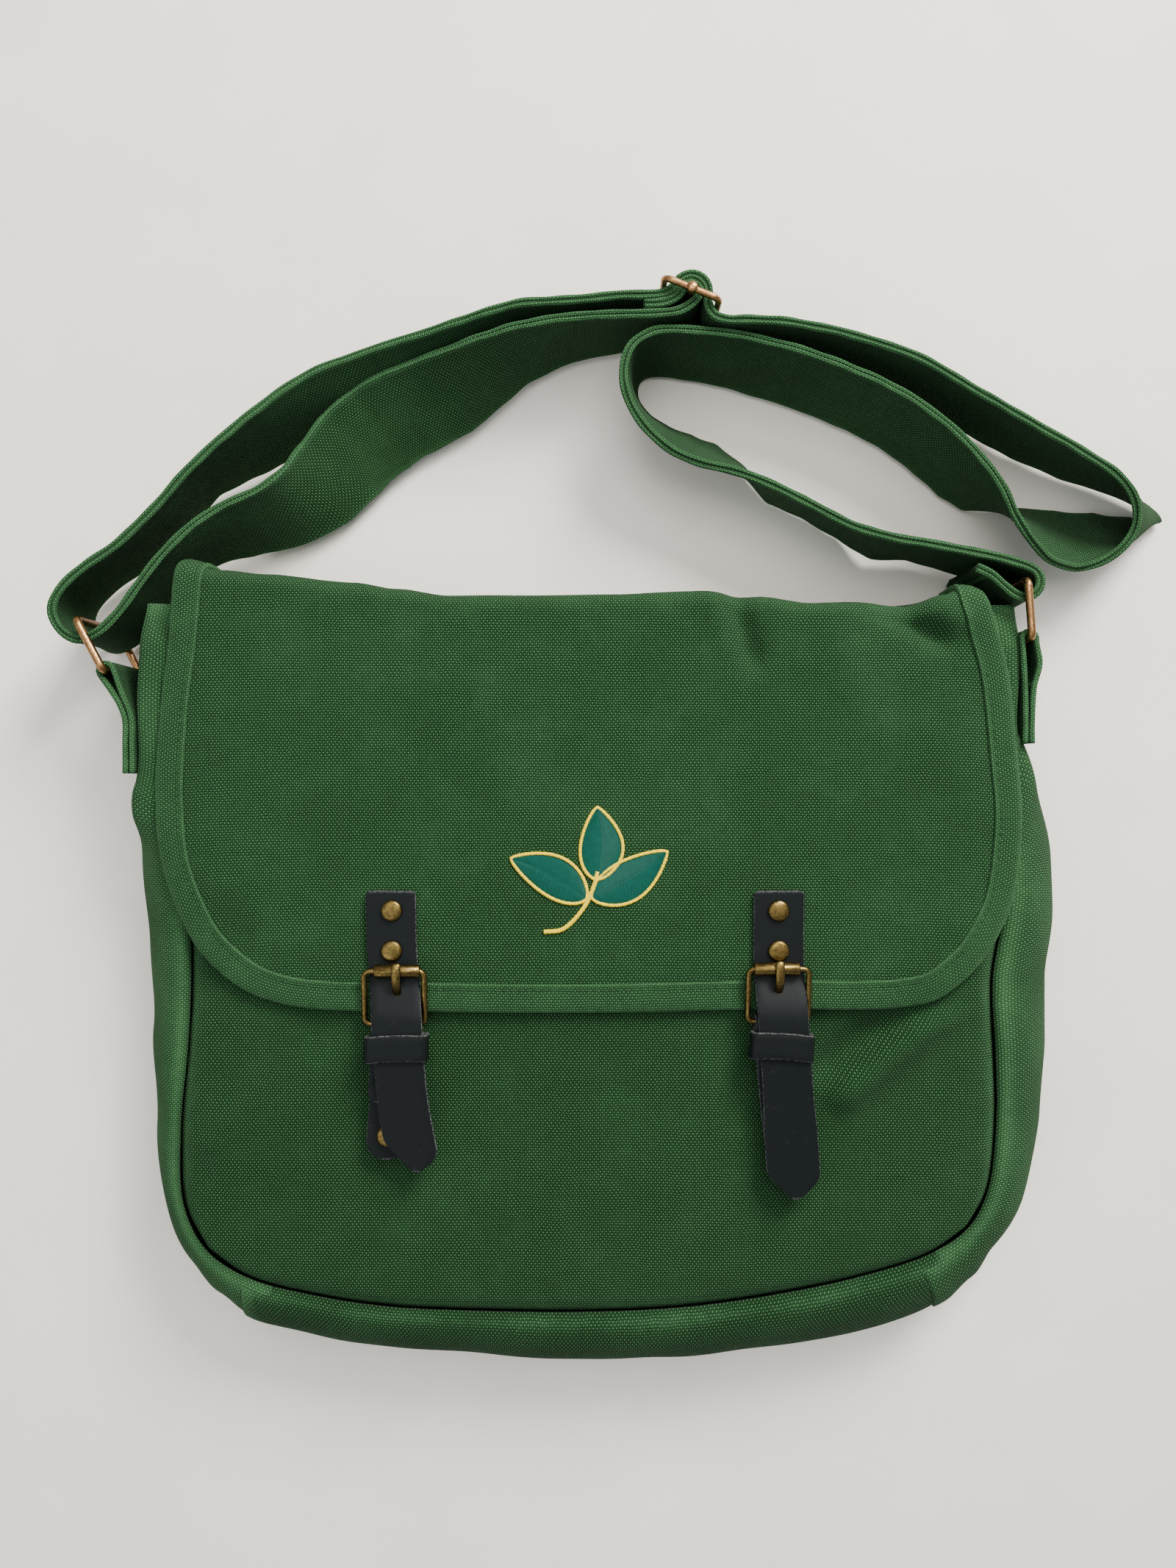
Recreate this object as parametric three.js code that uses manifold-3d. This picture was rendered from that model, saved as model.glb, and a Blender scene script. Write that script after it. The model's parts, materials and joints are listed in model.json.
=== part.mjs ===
// Messenger bag lying on its back panel. Millimetres, +X right, +Y towards the strap, +Z out of the front.
import * as THREE from 'three';
import { mergeVertices } from 'three/addons/utils/BufferGeometryUtils.js';
import Module from 'manifold-3d';

const wasm = await Module();
wasm.setup();

// Driving dimensions
const CLOTH = 1.5;
const GAP = 0.3;
const FRONT_Z = 40;
const BAG_TOP = 148.4;
const MOUTH_EDGE = 118;
const SEAM_LAP = 7;
const SIDE_BULGE = 20;
const BOTTOM_BULGE = 24.5;
const GUSSET_TOP = 144;
const FLAP_Z = 43.2;
const FLAP_T = 1.6;
const FLAP_TOP = FLAP_Z + FLAP_T;
const HINGE_Y = 149.2;
const BIND_W = 11;
const BIND_T = 0.7;
const BIND_END_Y = 146;
const STRAP_W = 38;
const STRAP_T = 2.8;
const STRAP_FOOT = 4.8;
const TAB_T = 1.7;
const RING_WIRE = 1.5;
const RING_WIDTH = 21.6;
const RING_HEIGHT = 42;
const RING_Z = 23.8;
const RING_CORNER = 2.5;
const SLIDER_WIRE = 1.3;
const SLIDER_BAR = 1.3;
const SLIDER_WIDTH = 22;
const SLIDER_HEIGHT = 43.2;
const CRIMP_R = 2.1;
const LEATHER_W = 18.6;
const LEATHER_T = 2;
const ANCHOR_W = 17.5;
const ANCHOR_T = 1.8;
const RIVET_R = 4;
const HEEL_Y = -13.4;
const HEEL_Z = 46.8;
const ROLLER_Y = 6.6;
const ROLLER_Z = 49.9;
const BUCKLE_WIRE = 1.15;
const BUCKLE_W = 22.3;
const PRONG_W = 3;
const PRONG_T = 1.2;
const KEEPER_T = 1.2;

const bag = new THREE.Group();
const canvas = { color: 0x2c6638, roughness: 0.95, metalness: 0 };
const leather = { color: 0x17181c, roughness: 0.5, metalness: 0 };
const brass = { color: 0xa07c3c, roughness: 0.35, metalness: 1 };
const thread = { color: 0x0d5a4a, roughness: 0.7, metalness: 0 };

function add(name, geometry, look, x = 0, y = 0, z = 0) {
  const mesh = new THREE.Mesh(geometry, new THREE.MeshStandardMaterial(look));
  mesh.name = name;
  mesh.position.set(x, y, z);
  bag.add(mesh);
  return mesh;
}

// Solids for joining and cutting
function toSolid(geometry) {
  const bare = geometry.clone();
  bare.deleteAttribute('normal');
  bare.deleteAttribute('uv');
  const merged = mergeVertices(bare, 1e-4);
  return new wasm.Manifold(new wasm.Mesh({
    numProp: 3,
    vertProperties: new Float32Array(merged.attributes.position.array),
    triVerts: new Uint32Array(merged.index.array),
  }));
}

function toGeometry(solid) {
  const mesh = solid.getMesh();
  const geometry = new THREE.BufferGeometry();
  geometry.setAttribute('position', new THREE.BufferAttribute(new Float32Array(mesh.vertProperties), 3));
  geometry.setIndex(new THREE.BufferAttribute(new Uint32Array(mesh.triVerts), 1));
  geometry.computeVertexNormals();
  return geometry;
}

const v2 = (x, y) => new THREE.Vector2(x, y);

// A smooth plane curve through points, sampled into count + 1 points
function smooth(points, count) {
  return new THREE.SplineCurve(points.map(([x, y]) => v2(x, y))).getPoints(count);
}

function arcPoints(cx, cy, r, fromDeg, toDeg, count) {
  const points = [];
  for (let i = 0; i <= count; i += 1) {
    const a = THREE.MathUtils.degToRad(fromDeg + ((toDeg - fromDeg) * i) / count);
    points.push(v2(cx + r * Math.cos(a), cy + r * Math.sin(a)));
  }
  return points;
}

function plate(points, bottom, top) {
  const settings = { depth: top - bottom, bevelEnabled: false };
  const geometry = new THREE.ExtrudeGeometry(new THREE.Shape(points), settings);
  return geometry.translate(0, 0, bottom);
}

// A plane line given a thickness
function stripOutline(line, thickness) {
  const left = [];
  const right = [];
  line.forEach((p, i) => {
    const before = line[Math.max(i - 1, 0)];
    const after = line[Math.min(i + 1, line.length - 1)];
    const along = v2(after.x - before.x, after.y - before.y).normalize();
    left.push(v2(p.x - (along.y * thickness) / 2, p.y + (along.x * thickness) / 2));
    right.push(v2(p.x + (along.y * thickness) / 2, p.y - (along.x * thickness) / 2));
  });
  return [...left, ...right.reverse()];
}

// A side view in (Y, Z) run along X, centred on X = 0
function sideProfile(points, width) {
  const geometry = new THREE.ExtrudeGeometry(new THREE.Shape(points), { depth: width, bevelEnabled: false });
  const turn = new THREE.Matrix4().makeBasis(
    new THREE.Vector3(0, 1, 0), new THREE.Vector3(0, 0, 1), new THREE.Vector3(1, 0, 0));
  return geometry.applyMatrix4(turn).translate(-width / 2, 0, 0);
}

function disc(r, bottom, top, x = 0, y = 0, sides = 16) {
  return new THREE.CylinderGeometry(r, r, top - bottom, sides)
    .rotateX(Math.PI / 2).translate(x, y, (top + bottom) / 2);
}

function turned(profile, sides = 16) {
  return new THREE.LatheGeometry(profile.map(([r, z]) => v2(r, z)), sides).rotateX(Math.PI / 2);
}

// A closed polyline whose stations are its own corner points
class WirePath extends THREE.Curve {
  constructor(points) {
    super();
    this.points = points;
  }

  at(i) {
    const count = this.points.length;
    return this.points[((i % count) + count) % count];
  }

  getPointAt(t) {
    return this.at(Math.round(t * this.points.length)).clone();
  }

  getTangentAt(t) {
    const i = Math.round(t * this.points.length);
    return this.at(i + 1).clone().sub(this.at(i - 1)).normalize();
  }
}

// A closed wire loop: a rectangle with rounded corners in the XZ plane, standing on edge
function wireLoop(width, height, cornerR, wireR) {
  const outline = [];
  [[1, 1, 0], [-1, 1, 90], [-1, -1, 180], [1, -1, 270]].forEach(([sx, sz, from]) => {
    const cx = sx * (width / 2 - cornerR);
    const cz = sz * (height / 2 - cornerR);
    outline.push(...arcPoints(cx, cz, cornerR, from, from + 90, 4));
  });
  const path = new WirePath(outline.map((p) => new THREE.Vector3(p.x, 0, p.y)));
  return new THREE.TubeGeometry(path, outline.length, wireR, 8, true);
}

// Straight blend between two neighbouring route rows, column by column
function routeValue(route, s, column, fallback) {
  const i = Math.min(Math.floor(s), route.length - 2);
  const from = route[i][column] ?? fallback;
  const to = route[i + 1][column] ?? fallback;
  return from + (to - from) * (s - i);
}

// A flat ribbon standing on edge. Route rows hold the top edge's X and Y, then where given
// the foot's offset in X and Y and the foot's height.
function ribbon(route, thickness, steps) {
  const topPoints = route.map(([x, y]) => new THREE.Vector3(x, y, 0));
  const tops = new THREE.CatmullRomCurve3(topPoints, false, 'centripetal');
  const geometry = new THREE.BoxGeometry(1, thickness, 1, steps, 1, 1);
  const place = geometry.attributes.position;
  for (let i = 0; i < place.count; i += 1) {
    const t = place.getX(i) + 0.5;
    const s = t * (route.length - 1);
    const leanX = routeValue(route, s, 2, 0);
    const leanY = routeValue(route, s, 3, 0);
    const foot = routeValue(route, s, 4, STRAP_FOOT);
    const drop = Math.sqrt(STRAP_W * STRAP_W - leanX * leanX - leanY * leanY);
    const down = new THREE.Vector3(leanX, leanY, -drop).normalize();
    const across = new THREE.Vector3().crossVectors(tops.getTangent(t), down).normalize();
    const point = tops.getPoint(t).setZ(foot + drop);
    point.addScaledVector(down, (0.5 - place.getZ(i)) * STRAP_W);
    point.addScaledVector(across, place.getY(i));
    place.setXYZ(i, point.x, point.y, point.z);
  }
  return geometry;
}

const rows = (points) => points.map((p) => [p.x, p.y]);

// The sewn edge of the front and back panels, from the top left round the bottom to the top right
const seam = new THREE.CatmullRomCurve3([
  [-152, GUSSET_TOP], [-153.2, 110], [-152.8, 79], [-158, 61], [-160.5, 46], [-157, 16], [-154, -20],
  [-153.5, -60], [-150, -85], [-142, -101], [-128, -111.5], [-105, -118], [-79, -122.5], [-45, -124],
  [-3.5, -124], [35, -122.5], [70, -118], [100, -112.5], [124, -105], [136, -94.5], [144.5, -77],
  [152, -50], [155, -30], [156.5, 0], [158.5, 26], [157, 45], [148.5, 70], [138.4, 89], [138, 118],
  [138, GUSSET_TOP]].map(([x, y]) => new THREE.Vector3(x, y, 0)), false, 'centripetal');
const SEAM_SPANS = 29;
const LEFT_END = 9.9 / SEAM_SPANS;
const RIGHT_START = 18.25 / SEAM_SPANS;
const JOIN_GAP = 0.14 / SEAM_SPANS;

function seamPart(from, to, count) {
  const points = [];
  for (let i = 0; i <= count; i += 1) {
    points.push(seam.getPoint(from + ((to - from) * i) / count));
  }
  return points;
}

// A panel inside the seam, closed by a straight top edge
function panelOutline(topY) {
  const points = seamPart(0, 1, 48).filter((p) => p.y < topY - 2).map((p) => v2(p.x, p.y));
  const cut = seamPart(0, 1, 400).filter((p) => p.y >= topY);
  const left = cut.filter((p) => p.x < 0);
  const right = cut.filter((p) => p.x > 0);
  const leftX = left.length ? left[left.length - 1].x : -152;
  const rightX = right.length ? right[0].x : 139;
  return [v2(leftX, topY), ...points, v2(rightX, topY)];
}

// A gusset wall: laps inside the back panel, bulges outwards, and laps inside the front panel
function gusset(from, to, bulge, steps) {
  const low = CLOTH + GAP;
  const high = FRONT_Z - GAP;
  const shape = new THREE.Shape();
  shape.moveTo(-low, -SEAM_LAP);
  shape.lineTo(-low, 0);
  shape.bezierCurveTo(-low, bulge * 0.75, -(low + 4), bulge, -(low + 11), bulge);
  shape.lineTo(-(high - 11), bulge);
  shape.bezierCurveTo(-(high - 4), bulge, -high, bulge * 0.75, -high, 0);
  shape.lineTo(-high, -SEAM_LAP);
  shape.lineTo(-(high - CLOTH), -SEAM_LAP);
  shape.lineTo(-(high - CLOTH), -0.5);
  shape.bezierCurveTo(-(high - CLOTH), bulge * 0.7, -(high - 5), bulge - CLOTH, -(high - 12), bulge - CLOTH);
  shape.lineTo(-(low + 12), bulge - CLOTH);
  shape.bezierCurveTo(-(low + 5), bulge - CLOTH, -(low + CLOTH), bulge * 0.7, -(low + CLOTH), -0.5);
  shape.lineTo(-(low + CLOTH), -SEAM_LAP);
  const path = new THREE.CatmullRomCurve3(seamPart(to, from, steps), false, 'centripetal');
  return new THREE.ExtrudeGeometry(shape, { steps, extrudePath: path, curveSegments: 3, bevelEnabled: false });
}

add('back_panel', plate(panelOutline(BAG_TOP), 0, CLOTH), canvas);
add('side_gusset_left', gusset(0, LEFT_END - JOIN_GAP, SIDE_BULGE, 20), canvas);
add('bottom_gusset', gusset(LEFT_END + JOIN_GAP, RIGHT_START - JOIN_GAP, BOTTOM_BULGE, 16), canvas);
add('side_gusset_right', gusset(RIGHT_START + JOIN_GAP, 1, SIDE_BULGE, 20), canvas);
const foldRight = 137;
const foldLeft = -150;
add('top_fold', new THREE.BoxGeometry(foldRight - foldLeft, CLOTH, FLAP_Z - 0.8 - CLOTH - GAP)
  .translate((foldRight + foldLeft) / 2, BAG_TOP - CLOTH / 2, (FLAP_Z - 0.8 + CLOTH + GAP) / 2), canvas);

// Flap: outline from the top left down, along the bottom edge and up to the top right
const flapEdge = [
  v2(-159, HINGE_Y), ...smooth([
    [-161, 130], [-164.5, 100], [-166, 70], [-162.5, 42], [-152, 18], [-131, -2], [-105, -8.6],
    [-75, -9.4], [-3, -10], [68, -8.6], [100, -8.8], [127, -5], [144, 9], [156, 32], [159.5, 61],
    [157.5, 90], [152.5, 119], [143, BIND_END_Y - 8]], 44), v2(138, HINGE_Y)];

// The same edge moved inwards
function inset(edge, distance) {
  return edge.map((p, i) => {
    const before = edge[Math.max(i - 1, 0)];
    const after = edge[Math.min(i + 1, edge.length - 1)];
    const along = v2(after.x - before.x, after.y - before.y).normalize();
    return v2(p.x - along.y * distance, p.y + along.x * distance);
  });
}

function hole(x, y, r) {
  return toSolid(disc(r, -5, 80, x, y, 12));
}

function block(x0, x1, y0, y1, z0, z1) {
  return toSolid(new THREE.BoxGeometry(x1 - x0, y1 - y0, z1 - z0)
    .translate((x0 + x1) / 2, (y0 + y1) / 2, (z0 + z1) / 2));
}

const closures = [
  { side: 'left', x: -75.2, shift: 0, tip: 7.5, tail: -67.2, anchorTip: -2.8 },
  { side: 'right', x: 67, shift: 0.8, tip: 5.5, tail: -77.2, anchorTip: 0.5 }];
const RIVETS = { upper: 29, lower: 14.2 };
const SNAP_Y = -55;
const SNAP_SHANK = 1;
const FOLD_RIVET_Y = -39;
const RIVET_SHANK = 1.2;

let flapSolid = toSolid(plate(inset(flapEdge, 1), FLAP_Z, FLAP_TOP));
flapSolid = flapSolid.subtract(block(-200, 200, HINGE_Y - 0.01, 200, 0, 80));
let frontSolid = toSolid(plate(panelOutline(MOUTH_EDGE), FRONT_Z, FRONT_Z + CLOTH));
closures.forEach(({ x, shift, anchorTip }) => {
  Object.values(RIVETS).forEach((y) => {
    flapSolid = flapSolid.subtract(hole(x, y + shift, RIVET_SHANK + GAP));
  });
  frontSolid = frontSolid.subtract(hole(x + anchorTip, SNAP_Y + shift, RIVET_SHANK + GAP));
});
add('front_panel', toGeometry(frontSolid), canvas);
add('flap_panel', toGeometry(flapSolid), canvas);

const bandOuter = toSolid(plate(flapEdge, FLAP_Z - GAP - BIND_T, FLAP_TOP + GAP + BIND_T));
const bandInner = toSolid(plate([v2(0, 200), ...inset(flapEdge, BIND_W)], 0, 80));
const bandSlot = toSolid(plate([v2(0, 200), ...inset(flapEdge, 1 - GAP)], FLAP_Z - GAP, FLAP_TOP + GAP));
const binding = bandOuter.subtract(bandInner).subtract(bandSlot)
  .subtract(block(-200, 200, BIND_END_Y, 220, 0, 80));
add('flap_binding', toGeometry(binding), canvas);

// Embroidered sprig: three pointed leaves on one stem
function leaf(x, y, length, width, angleDeg) {
  const shape = new THREE.Shape();
  shape.moveTo(0, 0);
  shape.quadraticCurveTo(width, length * 0.4, 0, length);
  shape.quadraticCurveTo(-width, length * 0.4, 0, 0);
  const geometry = new THREE.ExtrudeGeometry(shape, { depth: 0.6, bevelEnabled: false, curveSegments: 8 });
  return toSolid(geometry.rotateZ(THREE.MathUtils.degToRad(angleDeg)).translate(x, y, FLAP_TOP + GAP));
}
const stem = toSolid(plate(stripOutline(smooth([[-20, 20], [-10, 25], [-3, 33], [0, 43]], 10), 2.4),
  FLAP_TOP + GAP, FLAP_TOP + GAP + 0.6));
const sprig = stem.add(leaf(0, 41, 25, 9, 0)).add(leaf(-3.5, 33, 30, 9, 62)).add(leaf(-2.5, 33, 31, 9, -58));
add('emblem', toGeometry(sprig), thread);

// Closures: built about X = 0 and moved sideways
const strapSide = [[36, 46.1], [8, 46.1], [4, 46.4], [1, 47.35], [-4, 49.45], [-9.5, 51.25], [-14, 51.5],
  [-26, 51.45], [-40, 50.7], [-55, 50.1], [-80, 49.8]];
const anchorSide = [...smooth([[-65, 46.1], [-45, 46.1], [-38, 45.8], [-31, 44.8], [-20, HEEL_Z - 2.4],
  [HEEL_Y - 1, HEEL_Z - 2.4]], 9), ...arcPoints(HEEL_Y, HEEL_Z, 2.4, -90, 90, 8),
...smooth([[HEEL_Y - 1, HEEL_Z + 2.4], [-22, 49.2], [-31, 49.1], [-36, 48.15], [-42, 48.1]], 8)];
const prongSide = smooth([[HEEL_Y, HEEL_Z + 2.05], [-10, 48.95], [-5.5, 49.3], [-1.5, 50.6], [2.5, 52.4],
  [ROLLER_Y, 53.3], [9.6, 52.9]], 12);

// Sideways run of the tail below the keeper
function tailShift(y, reach, tip) {
  const start = -14;
  const share = Math.max(0, (start - y) / (start - reach));
  return tip * share ** 1.5;
}

function tailOutline(reach, tip) {
  const half = LEATHER_W / 2;
  const point = 17;
  const levels = [0, 8, 16, 24, 32].map((step) => -14 - step).filter((y) => y > reach + point + 2);
  levels.push(reach + point);
  const side = (sign) => levels.map((y) => v2(tailShift(y, reach, tip) + sign * half, y));
  const tipX = tailShift(reach, reach, tip);
  const shoulder = (sign) => v2(tailShift(reach + 7, reach, tip) + sign * half * 0.72, reach + 7);
  return [v2(-half + 1.5, 36.2), v2(-half, 34.7), ...side(-1), shoulder(-1), v2(tipX - 1.5, reach + 0.6),
    v2(tipX + 1.5, reach + 0.6), shoulder(1), ...side(1).reverse(), v2(half, 34.7), v2(half - 1.5, 36.2)];
}

function anchorOutline(tip) {
  const half = ANCHOR_W / 2;
  const round = arcPoints(tip, -64 + half, half, 0, -180, 12);
  return [v2(-half, 0), v2(-half, -34), ...round.reverse(), v2(half, -34), v2(half, 0)];
}

function closure({ side, x, shift, tip, tail, anchorTip }) {
  const place = (name, geometry, look) => add(`${name}_${side}`, geometry, look, x, shift, 0);

  let strap = toSolid(sideProfile(stripOutline(smooth(strapSide, 26), LEATHER_T), 60))
    .intersect(toSolid(plate(tailOutline(tail - shift, tip), 30, 70)));
  Object.values(RIVETS).forEach((y) => {
    strap = strap.subtract(hole(0, y, RIVET_SHANK + GAP));
  });
  strap = strap.subtract(block(-2.1, 2.1, -10.2, 2, 40, 60));
  place('flap_strap', toGeometry(strap), leather);

  let anchor = toSolid(sideProfile(stripOutline(anchorSide, ANCHOR_T), 60))
    .intersect(toSolid(plate(anchorOutline(anchorTip), 30, 70)));
  anchor = anchor.subtract(block(-2, 2, -17.2, -8, 40, 52))
    .subtract(hole(anchorTip, SNAP_Y, SNAP_SHANK + GAP)).subtract(hole(0, FOLD_RIVET_Y, 1.1));
  place('anchor_tab', toGeometry(anchor), leather);
  place('fold_rivet', turned([[0, 43.9], [2.4, 43.9], [2.4, 44.4], [0.8, 44.4], [0.8, 49.3], [2.4, 49.3],
    [2.4, 49.6], [0, 49.6]], 12).translate(0, FOLD_RIVET_Y, 0), brass);

  Object.entries(RIVETS).forEach(([row, y]) => {
    place(`rivet_${row}`, turned([[0, 42.3], [3, 42.3], [3, 42.9], [RIVET_SHANK, 42.9], [RIVET_SHANK, 47.35],
      [RIVET_R, 47.35], [RIVET_R, 47.8], [3.4, 48.4], [2, 48.8], [0, 48.9]]).translate(0, y, 0), brass);
  });

  place('snap_stud', turned([[0, 39], [RIVET_R, 39], [RIVET_R, 39.6], [RIVET_SHANK, 39.6], [RIVET_SHANK, 41.8],
    [RIVET_R, 41.8], [RIVET_R, 42.3], [1.4, 42.3], [1.7, 43.6], [1.3, 44.2], [0, 44.3]])
    .translate(anchorTip, SNAP_Y, 0), brass);
  place('snap_socket', turned([[0, 44.6], [2.05, 44.6], [2.05, 42.7], [4.3, 42.7], [4.3, 44.6], [3.6, 44.9],
    [0, 44.9]]).translate(anchorTip, SNAP_Y, 0), brass);
  place('snap_cap', turned([[0, 45.25], [SNAP_SHANK, 45.25], [SNAP_SHANK, 47.3], [RIVET_R, 47.3],
    [RIVET_R, 47.7], [3.4, 48.2], [2, 48.6], [0, 48.7]]).translate(anchorTip, SNAP_Y, 0), brass);

  const run = ROLLER_Y - HEEL_Y;
  const rise = ROLLER_Z - HEEL_Z;
  const lie = Math.atan2(rise, run);
  const frame = wireLoop(BUCKLE_W, Math.hypot(run, rise), 2.4, BUCKLE_WIRE).rotateX(-Math.PI / 2 + lie)
    .translate(0, (ROLLER_Y + HEEL_Y) / 2, (ROLLER_Z + HEEL_Z) / 2);
  place('buckle_frame', frame, brass);
  place('buckle_roller', new THREE.LatheGeometry([v2(1.5, -8.4), v2(2.45, -8.4), v2(2.45, 8.4), v2(1.5, 8.4),
    v2(1.5, -8.4)], 16).rotateZ(Math.PI / 2).translate(0, ROLLER_Y, ROLLER_Z), brass);

  const eye = toSolid(sideProfile(arcPoints(HEEL_Y, HEEL_Z, 2.65, 0, 340, 17), PRONG_W))
    .add(toSolid(sideProfile(stripOutline(prongSide, PRONG_T), PRONG_W)))
    .subtract(toSolid(new THREE.CylinderGeometry(1.45, 1.45, 20, 20).rotateZ(Math.PI / 2)
      .translate(0, HEEL_Y, HEEL_Z)));
  place('buckle_prong', toGeometry(eye), brass);

  const inner = { x: 10.5, low: 47.5, high: 52.75 };
  const keeper = block(-inner.x - KEEPER_T, inner.x + KEEPER_T, -26, -16.4, inner.low - KEEPER_T,
    inner.high + KEEPER_T).subtract(block(-inner.x, inner.x, -30, -10, inner.low, inner.high));
  place('keeper', toGeometry(keeper), leather);
}
closures.forEach(closure);

// Ring tabs: folded canvas round each ring's lower bar
const leftBar = v2(-184.7, 118.3);
const rightBar = v2(162.4, 130.3);
const tabLoop = 2.75;
const leftTab = [[-177.4, 79.7], [-177.4, 90], [-177.6, 100], [-180.2, 107],
  ...rows(arcPoints(leftBar.x, leftBar.y, tabLoop, 214, 24, 8)), [-178.8, 110], [-175.4, 101],
  [-174.9, 90], [-174.9, 79.7]];
const rightTab = [[163.4, 91], [163.4, 100], [164.2, 112], [166.2, 121],
  ...rows(arcPoints(rightBar.x, rightBar.y, tabLoop, -15, 195, 8)), [160.2, 122], [160.9, 111],
  [160.9, 100], [160.9, 91]];
add('ring_tab_left', ribbon(leftTab, TAB_T, 48), canvas);
add('ring_tab_right', ribbon(rightTab, TAB_T, 48), canvas);

function ring(name, bar, angleDeg) {
  const angle = THREE.MathUtils.degToRad(angleDeg);
  const geometry = wireLoop(RING_WIDTH, RING_HEIGHT, RING_CORNER, RING_WIRE);
  geometry.translate(RING_WIDTH / 2, 0, 0).rotateZ(angle);
  add(name, geometry, brass, bar.x, bar.y, RING_Z);
}
ring('ring_left', leftBar, 117.9);
ring('ring_right', rightBar, 94.3);

// Slider: a frame on edge with a centre bar crimped round its two short sides
const slider = v2(35.3, 260.6);
const sliderAngle = THREE.MathUtils.degToRad(-22);
add('slider_frame', wireLoop(SLIDER_WIDTH, SLIDER_HEIGHT, 3, SLIDER_WIRE).rotateZ(sliderAngle), brass,
  slider.x, slider.y, RING_Z);
let bar = toSolid(disc(SLIDER_BAR, -SLIDER_HEIGHT / 2, SLIDER_HEIGHT / 2));
[-1, 1].forEach((end) => {
  const crimp = new THREE.CylinderGeometry(CRIMP_R, CRIMP_R, 4, 12).rotateZ(Math.PI / 2)
    .translate(0, 0, (end * SLIDER_HEIGHT) / 2);
  bar = bar.add(toSolid(crimp));
});
[-1, 1].forEach((end) => {
  bar = bar.subtract(toSolid(new THREE.CylinderGeometry(SLIDER_WIRE + 0.25, SLIDER_WIRE + 0.25, 8, 12)
    .rotateZ(Math.PI / 2).translate(0, 0, (end * SLIDER_HEIGHT) / 2)));
});
add('slider_bar', toGeometry(bar.rotate([0, 0, -22])), brass, slider.x, slider.y, RING_Z);

// Shoulder strap: from its sewn loop on the right ring to its sewn loop on the slider's bar
const rightRingBar = v2(160.8, 151.8);
const strapRoute = [
  [142.5, 157.2], [148, 154.5], [152.5, 150.5], [156.8, 147.2],
  ...rows(arcPoints(rightRingBar.x, rightRingBar.y, 5.8, -100, 70, 6)),
  [156.5, 159.4], [146.6, 161.8], [125, 166, 1, 2], [111, 168.5], [96.5, 173.6, 2, 4, 1.5],
  [82, 181, 2, 5, 1.6],
  [68, 188, 2, 4, 1.6], [53.6, 194, 6, 10, 1.6], [39.4, 198, 9, 15, 1.6], [28, 203, 10, 14, 1.6],
  [18, 211.5, 9, 10, 1.6], [11.5, 222, 8, 5, 1.6], [9.8, 233, 6, 0, 1.6], [13, 242, 3, -3, 1.6],
  [20.5, 247, 0, -4, 1.6], [30, 248, 0, -5, 1.6], [53.6, 246, -2, -7, 1.6], [68, 243, -3, -8, 1.6],
  [82, 239, -4, -8, 1.6], [96.5, 233.5, -4, -8, 1.6], [111, 227, -4, -8, 1.6], [125, 218.5, -5, -7, 1.6],
  [136.6, 209, -6, -6, 1.6], [147, 198, -6, -4, 1.6], [153.5, 188, -3, 0, 1.6], [158.5, 178, 4, 10, 1.6],
  [165.5, 169.5, 8, 18, 1.6], [174.5, 162.5, 12, 24, 1.6], [187, 159.5, 16, 26, 1.6], [199, 163.5, 20, 20, 1.6],
  [206.5, 173, 23, 10, 1.6], [206, 183, 20, 4, 1.6], [199, 192, 14, 2, 1.6], [184, 201.5, 6, 0, 1.6],
  [168, 210.5, 1, 0, 1.6], [153.6, 218.8, 0, 0, 1.6], [139.4, 227, 0, 0, 1.6], [125, 235.6, 0, 0, 1.6],
  [111, 241.2, 0, 0, 1.6], [96.5, 245.6, 0, 0, 1.5], [82, 248.4, 0, 0, 2.8], [68, 249.8], [56, 250.2],
  [48.5, 250.4], [43.6, 252.2],
  ...rows(arcPoints(slider.x, slider.y, 6.6, -22, 160, 9)),
  [25.2, 260.4], [19, 259.6], [8, 259.3], [-9.4, 257.6], [-29.6, 256.4, 1, -3], [-43, 253.2, 4, -8],
  [-60, 248.5, 7, -14], [-78, 243.5, 9, -17], [-95, 238, 10, -17], [-112, 230, 9, -14], [-125, 220, 7, -9],
  [-139, 208, 4, -5], [-153.6, 194], [-167, 179], [-180.5, 166], [-192, 158], [-201.5, 149.5],
  [-205, 141], [-201.5, 133.5],
  [-195, 130.2], [-188, 132.6], [-180.5, 139.7], [-173.5, 149], [-165, 160.5], [-155.5, 170.5, 4, -4],
  [-145, 179, 5, -10], [-134.5, 184.5, 6, -13], [-126, 189.5, 9, -15], [-119.5, 197, 19, -14],
  [-113.5, 208, 25, -14], [-106, 219, 24, -19], [-95, 228.5, 19, -24], [-78, 236, 12, -25],
  [-60, 241.2, 9, -22], [-43, 245.6, 5, -15], [-29.6, 248.6, 2, -9], [-9.4, 251.4, 0, -3], [10, 252.2],
  [24, 252.7], [30.5, 253.5], [34.6, 255.6],
  ...rows(arcPoints(slider.x, slider.y, 3.25, -45, 145, 8)),
  [30.7, 259.4], [27, 257.3], [22, 256.3], [17.5, 256.1]];
add('shoulder_strap', ribbon(strapRoute, STRAP_T, 330), canvas);

export default bag;
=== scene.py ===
"""Messenger bag: the soft goods, leather and hardware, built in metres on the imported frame."""
import json
import math

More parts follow.
